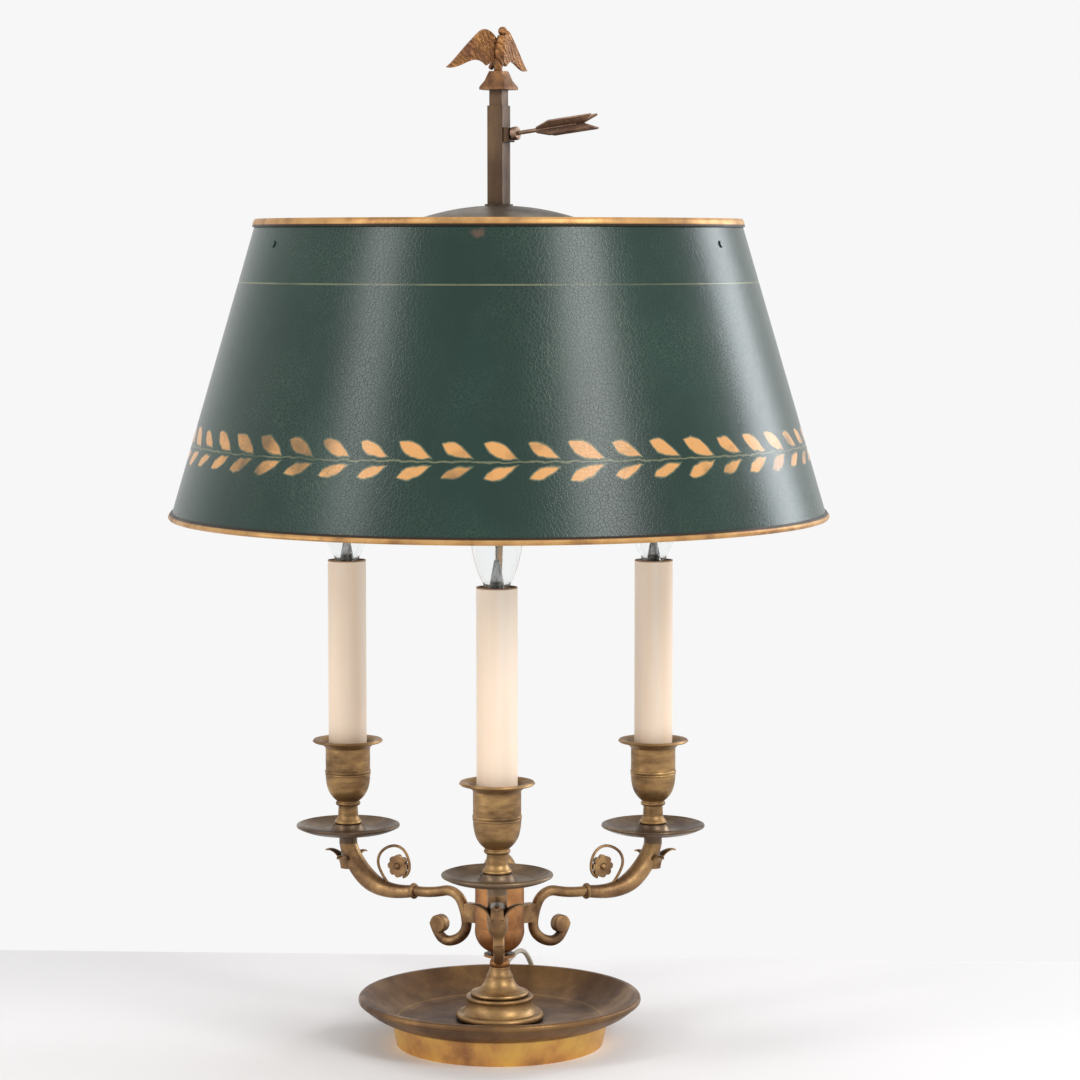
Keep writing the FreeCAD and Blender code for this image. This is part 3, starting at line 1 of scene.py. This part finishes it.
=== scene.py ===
import math
import bpy
import bmesh
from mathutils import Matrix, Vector


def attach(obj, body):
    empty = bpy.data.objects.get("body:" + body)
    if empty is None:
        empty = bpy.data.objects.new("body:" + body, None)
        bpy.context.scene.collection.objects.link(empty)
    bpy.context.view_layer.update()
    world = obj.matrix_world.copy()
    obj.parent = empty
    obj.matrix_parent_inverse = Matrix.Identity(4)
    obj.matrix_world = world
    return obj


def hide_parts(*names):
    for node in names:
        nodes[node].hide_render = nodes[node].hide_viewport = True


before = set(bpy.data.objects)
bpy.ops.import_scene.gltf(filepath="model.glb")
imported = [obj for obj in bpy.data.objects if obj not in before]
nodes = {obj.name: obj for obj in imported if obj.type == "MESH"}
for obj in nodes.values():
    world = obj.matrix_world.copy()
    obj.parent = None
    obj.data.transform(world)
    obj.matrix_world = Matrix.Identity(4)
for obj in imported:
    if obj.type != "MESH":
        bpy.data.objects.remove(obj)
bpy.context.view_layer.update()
scene = bpy.context.scene


# Small helpers for shader trees

def toLinear(r, g, b):  # screen colour, 0 to 255, as Blender's linear colour
    def channel(v):
        v = v / 255
        return v / 12.92 if v <= 0.04045 else ((v + 0.055) / 1.055) ** 2.4
    return (channel(r), channel(g), channel(b), 1.0)


def newMaterial(name):
    material = bpy.data.materials.new(name)
    material.use_nodes = True
    tree = material.node_tree
    return material, tree, tree.nodes["Principled BSDF"]


def addNoise(tree, scale, detail=6, rough=0.6, stretch=(1, 1, 1)):
    where = tree.nodes.new("ShaderNodeTexCoord")
    mapping = tree.nodes.new("ShaderNodeMapping")
    mapping.inputs["Scale"].default_value = stretch
    noise = tree.nodes.new("ShaderNodeTexNoise")
    noise.inputs["Scale"].default_value = scale
    noise.inputs["Detail"].default_value = detail
    noise.inputs["Roughness"].default_value = rough
    tree.links.new(where.outputs["Object"], mapping.inputs["Vector"])
    tree.links.new(mapping.outputs["Vector"], noise.inputs["Vector"])
    return noise.outputs["Fac"]


def addRamp(tree, source, stops):
    ramp = tree.nodes.new("ShaderNodeValToRGB")
    band = ramp.color_ramp
    while len(band.elements) < len(stops):
        band.elements.new(0.5)
    for element, (place, colour) in zip(band.elements, stops):
        element.position = place
        element.color = toLinear(*colour)
    tree.links.new(source, ramp.inputs["Fac"])
    return ramp.outputs["Color"]


# Colours are sockets, or tuples from toLinear; the factor is a socket or a plain number
def mixColours(tree, factor, first, second):
    mix = tree.nodes.new("ShaderNodeMix")
    mix.data_type = "RGBA"
    if isinstance(factor, float):
        mix.inputs["Factor"].default_value = factor
    else:
        tree.links.new(factor, mix.inputs["Factor"])
    for source, socket in ((first, mix.inputs["A"]), (second, mix.inputs["B"])):
        if isinstance(source, tuple):
            socket.default_value = source
        else:
            tree.links.new(source, socket)
    return mix.outputs["Result"]


def mapRange(tree, source, low, high, toLow=0.0, toHigh=1.0):
    node = tree.nodes.new("ShaderNodeMapRange")
    node.inputs["From Min"].default_value = low
    node.inputs["From Max"].default_value = high
    node.inputs["To Min"].default_value = toLow
    node.inputs["To Max"].default_value = toHigh
    tree.links.new(source, node.inputs["Value"])
    return node.outputs["Result"]


# One step of arithmetic on sockets and plain numbers
def calc(tree, operation, *terms):
    node = tree.nodes.new("ShaderNodeMath")
    node.operation = operation
    for term, socket in zip(terms, node.inputs):
        if isinstance(term, (int, float)):
            socket.default_value = term
        else:
            tree.links.new(term, socket)
    return node.outputs[0]


# A bump on top of the one that the surface has
def addBump(tree, face, height, strength, distance):
    bump = tree.nodes.new("ShaderNodeBump")
    bump.inputs["Strength"].default_value = strength
    bump.inputs["Distance"].default_value = distance
    tree.links.new(height, bump.inputs["Height"])
    for link in list(face.inputs["Normal"].links):
        tree.links.new(link.from_socket, bump.inputs["Normal"])
    tree.links.new(bump.outputs["Normal"], face.inputs["Normal"])


def objectAxes(tree):  # X, Y and Z of the piece's own frame, in metres
    where = tree.nodes.new("ShaderNodeTexCoord")
    split = tree.nodes.new("ShaderNodeSeparateXYZ")
    tree.links.new(where.outputs["Object"], split.inputs[0])
    return split.outputs


def reachOf(tree, axes):  # distance from the lamp's axis
    square = calc(tree, "MULTIPLY_ADD", axes["X"], axes["X"], calc(tree, "MULTIPLY", axes["Y"], axes["Y"]))
    return calc(tree, "SQRT", square)


def paintSoFar(face):
    return face.inputs["Base Color"].links[0].from_socket


def paint(tree, face, colour):
    tree.links.new(colour, face.inputs["Base Color"])


# Camera, table and lamps

studio = {
    "lens": 110.2, "sensorWidth": 36, "farClip": 30,
    "place": (0.0262, -2.1145, 0.5155), "lookDown": 5.075,
    "backColour": (247, 247, 247), "worldStrength": 0.47,
}

# The table's far edge shows as a faint slanting line behind the dish
tableFacts = {
    "colour": (245, 243, 243), "rough": 0.85, "grain": 40, "bump": 0.05, "bumpDepth": 0.001,
    "halfWidth": 3, "near": -1.6, "far": 0.262, "skew": 0.05,
}

# Place, aim, width and height, watts and tint. The leaning wall of the shade mirrors the high boxes to the
# camera, and the low ones light the candles that the shade keeps from the high ones
shadeMiddle = (0, 0, 0.42)
candleMiddle = (0, 0, 0.27)
white = (1, 1, 1)
softboxes = {
    "leftBox": ((-2.0, -1.4, 1.8), shadeMiddle, (0.6, 1.0), 17, white),
    "rightBox": ((1.51, -1.88, 1.8), shadeMiddle, (0.82, 1.05), 32, white),
    "rightEdge": ((1.85, 1.0, 1.0), shadeMiddle, (0.7, 1.1), 18, (0.90, 0.94, 1.0)),
    "topBox": ((0.1, 0.3, 2.3), (0, 0, 0.2), (1.8, 1.4), 9, white),
    "lowLeft": ((-1.9, -0.8, 0.35), candleMiddle, (0.8, 0.5), 5, white),
    "lowRight": ((1.9, -1.0, 0.35), candleMiddle, (0.8, 0.5), 1.2, white),
}


def addCamera():
    data = bpy.data.cameras.new("photoCamera")
    data.lens = studio["lens"]
    data.sensor_width = studio["sensorWidth"]
    data.clip_end = studio["farClip"]
    camera = bpy.data.objects.new("photoCamera", data)
    camera.location = studio["place"]
    camera.rotation_euler = (math.radians(90 - studio["lookDown"]), 0, 0)
    scene.collection.objects.link(camera)
    scene.camera = camera


def addSoftbox(name, place, aim, size, power, tint):
    data = bpy.data.lights.new(name, "AREA")
    data.shape = "RECTANGLE"
    data.size, data.size_y = size
    data.energy = power
    data.color = tint
    lamp = bpy.data.objects.new(name, data)
    lamp.location = place
    lamp.rotation_euler = (Vector(aim) - Vector(place)).to_track_quat("-Z", "Y").to_euler()
    scene.collection.objects.link(lamp)


def addWorld():
    world = bpy.data.worlds.new("studioRoom")
    world.use_nodes = True
    tree = world.node_tree
    tree.nodes.clear()
    out = tree.nodes.new("ShaderNodeOutputWorld")
    mix = tree.nodes.new("ShaderNodeMixShader")
    lit = tree.nodes.new("ShaderNodeBackground")
    seen = tree.nodes.new("ShaderNodeBackground")
    path = tree.nodes.new("ShaderNodeLightPath")
    lit.inputs["Color"].default_value = (1, 1, 1, 1)
    lit.inputs["Strength"].default_value = studio["worldStrength"]
    seen.inputs["Color"].default_value = toLinear(*studio["backColour"])
    seen.inputs["Strength"].default_value = 1.0
    direct = calc(tree, "MAXIMUM", path.outputs["Is Camera Ray"], path.outputs["Is Transmission Ray"])
    looked = calc(tree, "MAXIMUM", direct, path.outputs["Is Glossy Ray"])
    tree.links.new(looked, mix.inputs[0])
    tree.links.new(lit.outputs[0], mix.inputs[1])
    tree.links.new(seen.outputs[0], mix.inputs[2])
    tree.links.new(mix.outputs[0], out.inputs[0])
    scene.world = world


def addTable():
    facts = tableFacts
    wide = facts["halfWidth"]
    slant = wide * facts["skew"]
    mesh = bpy.data.meshes.new("tableTop")
    shape = bmesh.new()
    for corner in ((-wide, facts["near"], 0), (wide, facts["near"], 0),
                   (wide, facts["far"] - slant, 0), (-wide, facts["far"] + slant, 0)):
        shape.verts.new(corner)
    shape.faces.new(shape.verts)
    shape.to_mesh(mesh)
    shape.free()
    table = bpy.data.objects.new("tableTop", mesh)
    scene.collection.objects.link(table)
    material, tree, face = newMaterial("tableWhite")
    face.inputs["Base Color"].default_value = toLinear(*facts["colour"])
    face.inputs["Roughness"].default_value = facts["rough"]
    grain = tree.nodes.new("ShaderNodeTexNoise")
    grain.inputs["Scale"].default_value = facts["grain"]
    addBump(tree, face, grain.outputs["Fac"], facts["bump"], facts["bumpDepth"])
    mesh.materials.append(material)


def addStudio():
    addCamera()
    addWorld()
    addTable()
    for name, facts in softboxes.items():
        addSoftbox(name, *facts)
    scene.view_settings.view_transform = "Standard"
    print("studio ready")


# The cord, in millimetres: one spline from the bush, through the switch and the coil, to the plug

cordFacts = {
    "radius": 0.0017,  # metres
    "length": 1.86,  # metres
    "toSwitch": [
        (3.95, 25.6, 46.5), (7.9, 47.9, 46.5), (12.0, 68.0, 45.8), (16.2, 86.0, 41.0),
        (20.6, 99.5, 29.0), (24.2, 106.5, 13.0), (27.0, 116.5, 3.4), (29.0, 131.5, 1.75),
        (25.0, 147.5, 1.75), (11.0, 156.5, 2.4), (-7.0, 153.5, 5.0)],
    "toCoil": [
        (-56.3, 145.3, 5.0), (-71.1, 142.8, 2.4), (-83.0, 130.5, 1.75), (-86.0, 113.0, 1.75),
        (-78.5, 96.5, 1.75), (-63.0, 85.0, 1.75), (-46.5, 78.7, 1.75)],
    "toPlug": [(-18.0, 78.7, 13.5), (-6.0, 81.6, 9.6), (6.0, 85.5, 6.7), (18.0, 87.0, 6.5)],
    "coilMiddle": (-30.0, 104.54, 1.75),
    "coilInner": 13.6,
    "coilPitch": 4.08,
    "coilTurns": 12,
    "coilLayers": 4,
    "pointsPerTurn": 16,
    "climb": 0.25,  # turns before and after a new layer that the cord takes to climb to it
}


def coilPoints():
    facts = cordFacts
    perLayer = facts["coilTurns"] / facts["coilLayers"]
    outside = 1 / math.cos(math.pi / facts["pointsPerTurn"])  # the spline cuts inside its points
    middle = Vector(facts["coilMiddle"])
    points = []
    count = facts["coilTurns"] * facts["pointsPerTurn"]
    for step in range(count + 1):
        turns = step / facts["pointsPerTurn"]
        layer = min(int(turns / perLayer), facts["coilLayers"] - 1)
        within = turns / perLayer - layer
        share = 1 - within if layer % 2 == 0 else within
        radius = (facts["coilInner"] + facts["coilPitch"] * perLayer * share) * outside
        level = float(layer)
        nearest = round(turns / perLayer)
        apart = turns - nearest * perLayer
        if 0 < nearest < facts["coilLayers"] and abs(apart) < facts["climb"]:
            level = nearest - 0.5 + apart / (2 * facts["climb"])
        angle = 2 * math.pi * turns - math.pi / 2
        offset = (radius * math.cos(angle), radius * math.sin(angle), facts["coilPitch"] * level)
        points.append(middle + Vector(offset))
    return points


def addCord(material):
    facts = cordFacts
    route = [Vector(p) for p in facts["toSwitch"] + facts["toCoil"]] + coilPoints()
    route += [Vector(p) for p in facts["toPlug"]]
    curve = bpy.data.curves.new("goldCord", "CURVE")
    curve.dimensions = "3D"
    curve.bevel_depth = facts["radius"]
    curve.bevel_resolution = 4
    curve.resolution_u = 6
    curve.use_fill_caps = True
    spline = curve.splines.new("NURBS")
    spline.points.add(len(route) - 1)
    for point, place in zip(spline.points, route):
        point.co = (place.x / 1000, place.y / 1000, place.z / 1000, 1)
    spline.order_u = 3
    spline.use_endpoint_u = True
    cord = bpy.data.objects.new("goldCord", curve)
    scene.collection.objects.link(cord)
    curve.materials.append(material)
    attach(cord, "stand")
    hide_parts("cord_lead", "cord_link", "cord_coil", "cord_tail")
    print("cord laid")


# Brass. Each kind changes some of agedBrass: colours of the mottling up to the worn places, the painted shade
# in hollows, roughness where it is light and where it is dark, scale of the mottling, strength of the pits,
# and stretch of the mottling

agedBrass = {
    # The darkest colour, used in hollows and creases, is painted shade
    "dark": (86, 62, 44), "middle": (136, 104, 72), "light": (180, 144, 96), "hollowShadeColour": (44, 31, 24),
    "rough": (0.34, 0.58), "metal": 0.82, "scale": 60, "bump": 0.25, "streak": (1, 1, 1),
}

brassKinds = {
    "castBrass": {"scale": 70, "bump": 0.35},
    "turnedBrass": {
        "dark": (100, 76, 50), "middle": (146, 114, 76), "light": (182, 146, 94),
        "scale": 50, "bump": 0.2, "streak": (1, 1, 3)},
    "plateBrass": {
        "dark": (50, 42, 34), "middle": (74, 64, 52), "light": (104, 90, 70), "scale": 36, "bump": 0.2},
    "panBrass": {
        "dark": (66, 52, 44), "middle": (96, 78, 62), "light": (140, 118, 92), "rough": (0.28, 0.5),
        "scale": 40, "bump": 0.18},
    "urnBrass": {
        "dark": (106, 68, 42), "middle": (158, 108, 66), "light": (198, 142, 88), "scale": 55, "bump": 0.35},
    "tubeBrass": {
        "dark": (52, 38, 29), "middle": (78, 60, 46), "light": (102, 80, 58),
        "scale": 45, "bump": 0.18, "streak": (1, 1, 0.3)},
    "keyBrass": {
        "dark": (88, 66, 58), "middle": (128, 100, 86), "light": (176, 148, 120), "scale": 120, "bump": 0.4},
    "birdBrass": {
        "dark": (70, 46, 40), "middle": (112, 80, 58), "light": (150, 106, 62), "scale": 110, "bump": 0.45},
    "featherBrass": {
        "dark": (92, 60, 48), "middle": (138, 96, 64), "light": (178, 126, 72), "scale": 110, "bump": 0.45},
    "dishBrass": {
        "dark": (68, 48, 34), "middle": (96, 70, 48), "light": (140, 106, 66), "scale": 26, "bump": 0.15},
    "giltRim": {
        # The darkest colour of the gilt is painted shade for its hollows
        "dark": (126, 88, 52), "middle": (182, 136, 82), "light": (208, 164, 106), "hollowShadeColour": (70, 48, 30),
        "metal": 0.65, "rough": (0.35, 0.5), "scale": 60, "bump": 0.2},
}

paintedShadeReach = 0.006  # metres that the painted shade in a hollow reaches


def brassMaterial(name):
    look = dict(agedBrass)
    look.update(brassKinds[name])
    material, tree, face = newMaterial(name)
    cloud = addNoise(tree, look["scale"], 8, 0.62, look["streak"])
    blotch = addNoise(tree, look["scale"] * 0.28, 4, 0.5)
    mottled = addRamp(tree, cloud, [(0.30, look["dark"]), (0.50, look["middle"]), (0.72, look["light"])])
    patches = mapRange(tree, blotch, 0.42, 0.68)
    patched = mixColours(tree, patches, mottled, toLinear(*look["light"]))
    softer = mixColours(tree, 0.5, mottled, patched)
    # Painted shade: ambient occlusion darkens the colour in hollows and creases, where shade falls, towards
    # the darkest colour of the kind
    hollow = tree.nodes.new("ShaderNodeAmbientOcclusion")
    hollow.samples = 4
    hollow.inputs["Distance"].default_value = paintedShadeReach
    clear = mapRange(tree, hollow.outputs["AO"], 0.25, 0.85)
    paint(tree, face, mixColours(tree, clear, toLinear(*look["hollowShadeColour"]), softer))
    face.inputs["Metallic"].default_value = look["metal"]
    smooth, dull = look["rough"]
    tree.links.new(mapRange(tree, cloud, 0.3, 0.7, dull, smooth), face.inputs["Roughness"])
    pits = addNoise(tree, look["scale"] * 9, 5, 0.7)
    addBump(tree, face, pits, look["bump"], 0.0005)
    return material, tree, face


# The between colour is painted shade for the grooves between rows of feathers, which are only a bump
feathers = {"scale": 120, "distortion": 9, "detail": 4, "between": (62, 42, 34)}


def featherMaterial():  # rows of feathers, as wavy bands across the wings, with painted shade between the rows
    material, tree, face = brassMaterial("featherBrass")
    where = tree.nodes.new("ShaderNodeTexCoord")
    rows = tree.nodes.new("ShaderNodeTexWave")
    rows.bands_direction = "DIAGONAL"
    rows.inputs["Scale"].default_value = feathers["scale"]
    rows.inputs["Distortion"].default_value = feathers["distortion"]
    rows.inputs["Detail"].default_value = feathers["detail"]
    tree.links.new(where.outputs["Object"], rows.inputs["Vector"])
    # Painted shade in the grooves between the rows of feathers
    between = mapRange(tree, rows.outputs["Fac"], 0.05, 0.5, 0.4, 0.0)
    paint(tree, face, mixColours(tree, between, paintSoFar(face), toLinear(*feathers["between"])))
    addBump(tree, face, rows.outputs["Fac"], 0.7, 0.0008)
    return material


# The dish's foot band is yellower than the dish, with stains. Its top and its inner radius are in metres
footBand = {
    "stains": [
        (0.32, (164, 116, 78)), (0.48, (216, 164, 96)), (0.62, (232, 190, 102)), (0.75, (206, 148, 116))],
    "top": 0.0150, "inside": 0.0655,
}


def dishMaterial():
    material, tree, face = brassMaterial("dishBrass")
    axes = objectAxes(tree)
    band = addRamp(tree, addNoise(tree, 30, 6, 0.6), footBand["stains"])
    low = mapRange(tree, axes["Z"], footBand["top"], footBand["top"] + 0.002, 1.0, 0.0)
    outer = mapRange(tree, reachOf(tree, axes), footBand["inside"], footBand["inside"] + 0.001)
    paint(tree, face, mixColours(tree, calc(tree, "MULTIPLY", low, outer), paintSoFar(face), band))
    return material


# A dark line where each gilt bead meets the paint, between these heights in metres
rimSeam = {"low": 0.3458, "high": 0.5294, "blur": 0.0006, "colour": (48, 36, 26)}


def rimMaterial():
    material, tree, face = brassMaterial("giltRim")
    axes = objectAxes(tree)
    overLow = mapRange(tree, axes["Z"], rimSeam["low"], rimSeam["low"] + rimSeam["blur"])
    underTop = mapRange(tree, axes["Z"], rimSeam["high"] - rimSeam["blur"], rimSeam["high"], 1.0, 0.0)
    seam = calc(tree, "MULTIPLY", overLow, underTop)
    paint(tree, face, mixColours(tree, seam, paintSoFar(face), toLinear(*rimSeam["colour"])))
    return material


# The shade's paint. Lengths are in metres, and wallSlope is how much wider the shade gets as it goes down

tole = {
    "green": (26, 56, 46), "deep": (18, 44, 36), "worn": (70, 92, 80), "rough": 0.27, "shine": 0.36,
    "crackle": 420, "lining": [(0.35, (214, 206, 188)), (0.65, (232, 226, 212))],
    "top": 0.532, "topRadius": 0.154, "wallSlope": 0.29521,
}

# A stem with a leaf above and below it at every step round the shade. A leaf's length and width are halves.
# The whole part of offset keeps the count of steps above zero
garland = {
    "pairs": 48, "offset": 100.35, "stem": 0.3904, "ring": 0.1956,
    "upper": {"height": 0.3966, "slope": -25, "length": 0.0130, "width": 0.0050},
    "lower": {"height": 0.3846, "slope": 20, "length": 0.0126, "width": 0.0041},
    "sizes": (0.84, 1.06), "shake": 0.0006,
    "body": (224, 164, 100), "edge": (100, 108, 86), "line": (132, 134, 102), "lineHeight": 0.493,
}

# A brown worn spot near the top of the shade's front
wornSpot = {"x": -0.0105, "z": 0.5235, "inner": 0.0045, "outer": 0.0065, "colour": (104, 80, 66)}


def leafMargin(tree, leaf, across, up, size):  # how far inside the leaf's edge a point lies
    slope = math.radians(leaf["slope"])
    rise = calc(tree, "SUBTRACT", up, leaf["height"])
    along = calc(tree, "MULTIPLY_ADD", across, math.cos(slope), calc(tree, "MULTIPLY", rise, math.sin(slope)))
    aside = calc(tree, "MULTIPLY_ADD", rise, math.cos(slope), calc(tree, "MULTIPLY", across, -math.sin(slope)))
    share = calc(tree, "DIVIDE", along, calc(tree, "MULTIPLY", size, leaf["length"]))
    belly = calc(tree, "SUBTRACT", 1.0, calc(tree, "MULTIPLY", share, share))
    taper = calc(tree, "MAXIMUM", calc(tree, "MULTIPLY_ADD", share, -0.45, 1.0), 0.1)
    widest = calc(tree, "MULTIPLY", size, leaf["width"])
    half = calc(tree, "MULTIPLY", calc(tree, "MULTIPLY", belly, taper), widest)
    return calc(tree, "SUBTRACT", half, calc(tree, "ABSOLUTE", aside))


def paintedGarland(tree, ground):
    axes = objectAxes(tree)
    angle = calc(tree, "ARCTAN2", axes["X"], calc(tree, "MULTIPLY", axes["Y"], -1.0))
    turns = calc(tree, "MULTIPLY_ADD", angle, garland["pairs"] / (2 * math.pi), garland["offset"])
    spacing = 2 * math.pi * garland["ring"] / garland["pairs"]
    across = calc(tree, "MULTIPLY", calc(tree, "SUBTRACT", calc(tree, "FRACT", turns), 0.5), spacing)
    dice = tree.nodes.new("ShaderNodeTexWhiteNoise")
    dice.noise_dimensions = "1D"
    tree.links.new(calc(tree, "FLOOR", turns), dice.inputs["W"])
    size = mapRange(tree, dice.outputs["Value"], 0.0, 1.0, *garland["sizes"])
    shake = mapRange(tree, addNoise(tree, 170, 2, 0.4), 0.3, 0.7, -garland["shake"], garland["shake"])
    height = calc(tree, "ADD", axes["Z"], shake)
    margin = calc(tree, "MAXIMUM", leafMargin(tree, garland["upper"], across, height, size),
                  leafMargin(tree, garland["lower"], across, height, size))
    leaf = mapRange(tree, margin, -0.0001, 0.0004)
    inner = mapRange(tree, margin, 0.0007, 0.0013)
    kept = mapRange(tree, addNoise(tree, 16, 4, 0.6), 0.36, 0.5, 0.3, 0.97)
    stemGap = calc(tree, "ABSOLUTE", calc(tree, "SUBTRACT", height, garland["stem"]))
    lineGap = calc(tree, "ABSOLUTE", calc(tree, "SUBTRACT", axes["Z"], garland["lineHeight"]))
    stem = mapRange(tree, stemGap, 0.0003, 0.0007, 0.65, 0.0)
    line = mapRange(tree, lineGap, 0.0003, 0.0006, 0.75, 0.0)
    thin = calc(tree, "MULTIPLY", calc(tree, "MAXIMUM", stem, line), kept)
    lined = mixColours(tree, thin, ground, toLinear(*garland["line"]))
    gold = mixColours(tree, inner, toLinear(*garland["edge"]), toLinear(*garland["body"]))
    return mixColours(tree, calc(tree, "MULTIPLY", leaf, kept), lined, gold)


def wornShare(tree):
    axes = objectAxes(tree)
    aside = calc(tree, "MULTIPLY", calc(tree, "SUBTRACT", axes["X"], wornSpot["x"]), 0.7)
    rise = calc(tree, "SUBTRACT", axes["Z"], wornSpot["z"])
    gap = calc(tree, "SQRT", calc(tree, "MULTIPLY_ADD", aside, aside, calc(tree, "MULTIPLY", rise, rise)))
    ragged = calc(tree, "MULTIPLY_ADD", addNoise(tree, 300, 4, 0.6), 0.006, gap)
    front = mapRange(tree, axes["Y"], -0.08, -0.10)
    spot = mapRange(tree, ragged, wornSpot["inner"], wornSpot["outer"], 0.7, 0.0)
    return calc(tree, "MULTIPLY", spot, front)


def outsideShare(tree):  # 1 on the wall's outer face, 0 on its pale lining
    axes = objectAxes(tree)
    fall = calc(tree, "SUBTRACT", tole["top"], axes["Z"])
    wall = calc(tree, "MULTIPLY_ADD", fall, tole["wallSlope"], tole["topRadius"])
    return mapRange(tree, calc(tree, "SUBTRACT", reachOf(tree, axes), wall), -0.0006, -0.0004)


def toleMaterial():
    material, tree, face = newMaterial("tolePaint")
    cloud = addNoise(tree, 9, 6, 0.6, (1, 1, 0.6))
    ground = addRamp(tree, cloud, [(0.35, tole["deep"]), (0.62, tole["green"])])
    where = tree.nodes.new("ShaderNodeTexCoord")
    crack = tree.nodes.new("ShaderNodeTexVoronoi")
    crack.feature = "DISTANCE_TO_EDGE"
    crack.inputs["Scale"].default_value = tole["crackle"]
    tree.links.new(where.outputs["Object"], crack.inputs["Vector"])
    offCrack = mapRange(tree, crack.outputs["Distance"], 0.0, 0.09)
    sound = mapRange(tree, addNoise(tree, 14, 3, 0.5), 0.42, 0.62, 1.0, 0.65)
    unbroken = calc(tree, "MAXIMUM", offCrack, sound)
    colour = mixColours(tree, unbroken, toLinear(*tole["worn"]), paintedGarland(tree, ground))
    colour = mixColours(tree, wornShare(tree), colour, toLinear(*wornSpot["colour"]))
    colour = mixColours(tree, outsideShare(tree), addRamp(tree, cloud, tole["lining"]), colour)
    paint(tree, face, colour)
    face.inputs["Roughness"].default_value = tole["rough"]
    face.inputs["Specular IOR Level"].default_value = tole["shine"]
    addBump(tree, face, offCrack, 0.12, 0.0003)
    return material


# Candles, bulbs and fittings

candle = {
    "streaks": [(0.35, (247, 224, 200)), (0.65, (250, 235, 219))], "lower": (250, 222, 194),
    "rim": (150, 112, 78), "foot": 0.17, "middle": 0.30, "rimHeight": 0.3085,
}


def candleMaterial():
    material, tree, face = newMaterial("candleCream")
    streak = addNoise(tree, 90, 4, 0.5, (1, 1, 0.04))
    axes = objectAxes(tree)
    lower = mapRange(tree, axes["Z"], candle["foot"], candle["middle"], 0.55, 0.0)
    colour = mixColours(tree, lower, addRamp(tree, streak, candle["streaks"]), toLinear(*candle["lower"]))
    rim = mapRange(tree, axes["Z"], candle["rimHeight"], candle["rimHeight"] + 0.0005)
    paint(tree, face, mixColours(tree, rim, colour, toLinear(*candle["rim"])))
    face.inputs["Roughness"].default_value = 0.5
    face.inputs["Subsurface Weight"].default_value = 0.15
    face.inputs["Subsurface Radius"].default_value = (0.01, 0.006, 0.004)
    addBump(tree, face, streak, 0.15, 0.0002)
    return material


def glassMaterial():
    material, tree, face = newMaterial("bulbGlass")
    face.inputs["Base Color"].default_value = (0.97, 0.985, 0.985, 1)
    face.inputs["Roughness"].default_value = 0.02
    face.inputs["Transmission Weight"].default_value = 1.0
    face.inputs["IOR"].default_value = 1.46
    return material


def stemMaterial():  # smoky glass stem with its wires as dark streaks
    material, tree, face = newMaterial("stemGlass")
    smoke = addNoise(tree, 240, 5, 0.7, (1, 1, 0.35))
    paint(tree, face, addRamp(tree, smoke, [(0.42, (70, 66, 64)), (0.62, (214, 216, 216))]))
    face.inputs["Roughness"].default_value = 0.12
    face.inputs["Transmission Weight"].default_value = 0.7
    return material


# Colour, roughness and metal share
plainKinds = {
    "capBrass": ((190, 160, 100), 0.35, 0.9),
    "socketBlack": ((28, 26, 25), 0.5, 0.0),
    "pipeSteel": ((140, 136, 128), 0.45, 0.9),
    "brownMoulding": ((62, 44, 32), 0.45, 0.0),
    "rockerIvory": ((214, 200, 170), 0.35, 0.0),
    "cordGold": ((176, 162, 132), 0.3, 0.0),
}

plainShade = 0.88  # how dark the mottling of a plain material gets, as a share of its colour


def plainMaterial(name):
    colour, rough, metal = plainKinds[name]
    material, tree, face = newMaterial(name)
    noise = addNoise(tree, 80)
    darker = tuple(int(c * plainShade) for c in colour)
    paint(tree, face, addRamp(tree, noise, [(0.35, darker), (0.65, colour)]))
    face.inputs["Roughness"].default_value = rough
    face.inputs["Metallic"].default_value = metal
    addBump(tree, face, noise, 0.1, 0.0002)
    return material


def dress(material, *names):
    for name in names:
        data = nodes[name].data
        data.materials.clear()
        data.materials.append(material)


def eachArm(*names):
    return ["%s_%d" % (name, k) for name in names for k in (1, 2, 3)]


def smoothShading():
    for node in nodes.values():
        for face in node.data.polygons:
            face.use_smooth = True
        node.data.set_sharp_from_angle(angle=math.radians(32))


def addMaterials():
    brassWearers = {
        "castBrass": eachArm("arm", "tendril"),
        "turnedBrass": eachArm("candle_cup") + ["pedestal", "urn_cap", "centre_rod"],
        "plateBrass": ["shade_spider"],
        "panBrass": eachArm("drip_pan"),
        "urnBrass": ["urn_body", "neck_knop", "arm_screws"],
        "tubeBrass": ["slide_tube", "guide_bar", "key_boss"],
        "keyBrass": ["key_screw"],
        "birdBrass": ["finial_rock"],
    }
    for name, wearers in brassWearers.items():
        dress(brassMaterial(name)[0], *wearers)
    dress(featherMaterial(), "finial_eagle")
    dress(dishMaterial(), "base_dish")
    dress(rimMaterial(), "shade_top_rim", "shade_bottom_rim")
    dress(toleMaterial(), "shade_cone", "spider_rivets")
    dress(candleMaterial(), *eachArm("candle_sleeve"))
    dress(glassMaterial(), *eachArm("bulb_glass"))
    dress(stemMaterial(), *eachArm("bulb_mount"))
    plainWearers = {
        "capBrass": eachArm("bulb_cap") + ["plug_pins"],
        "socketBlack": eachArm("lamp_socket"),
        "pipeSteel": eachArm("socket_nipple") + ["tie_pipe", "floor_washer", "floor_nut"],
        "brownMoulding": ["cord_bush", "switch_case", "plug_body"],
        "rockerIvory": ["switch_rocker"],
    }
    for name, wearers in plainWearers.items():
        dress(plainMaterial(name), *wearers)
    print("materials done")


addStudio()
smoothShading()
addMaterials()
addCord(plainMaterial("cordGold"))
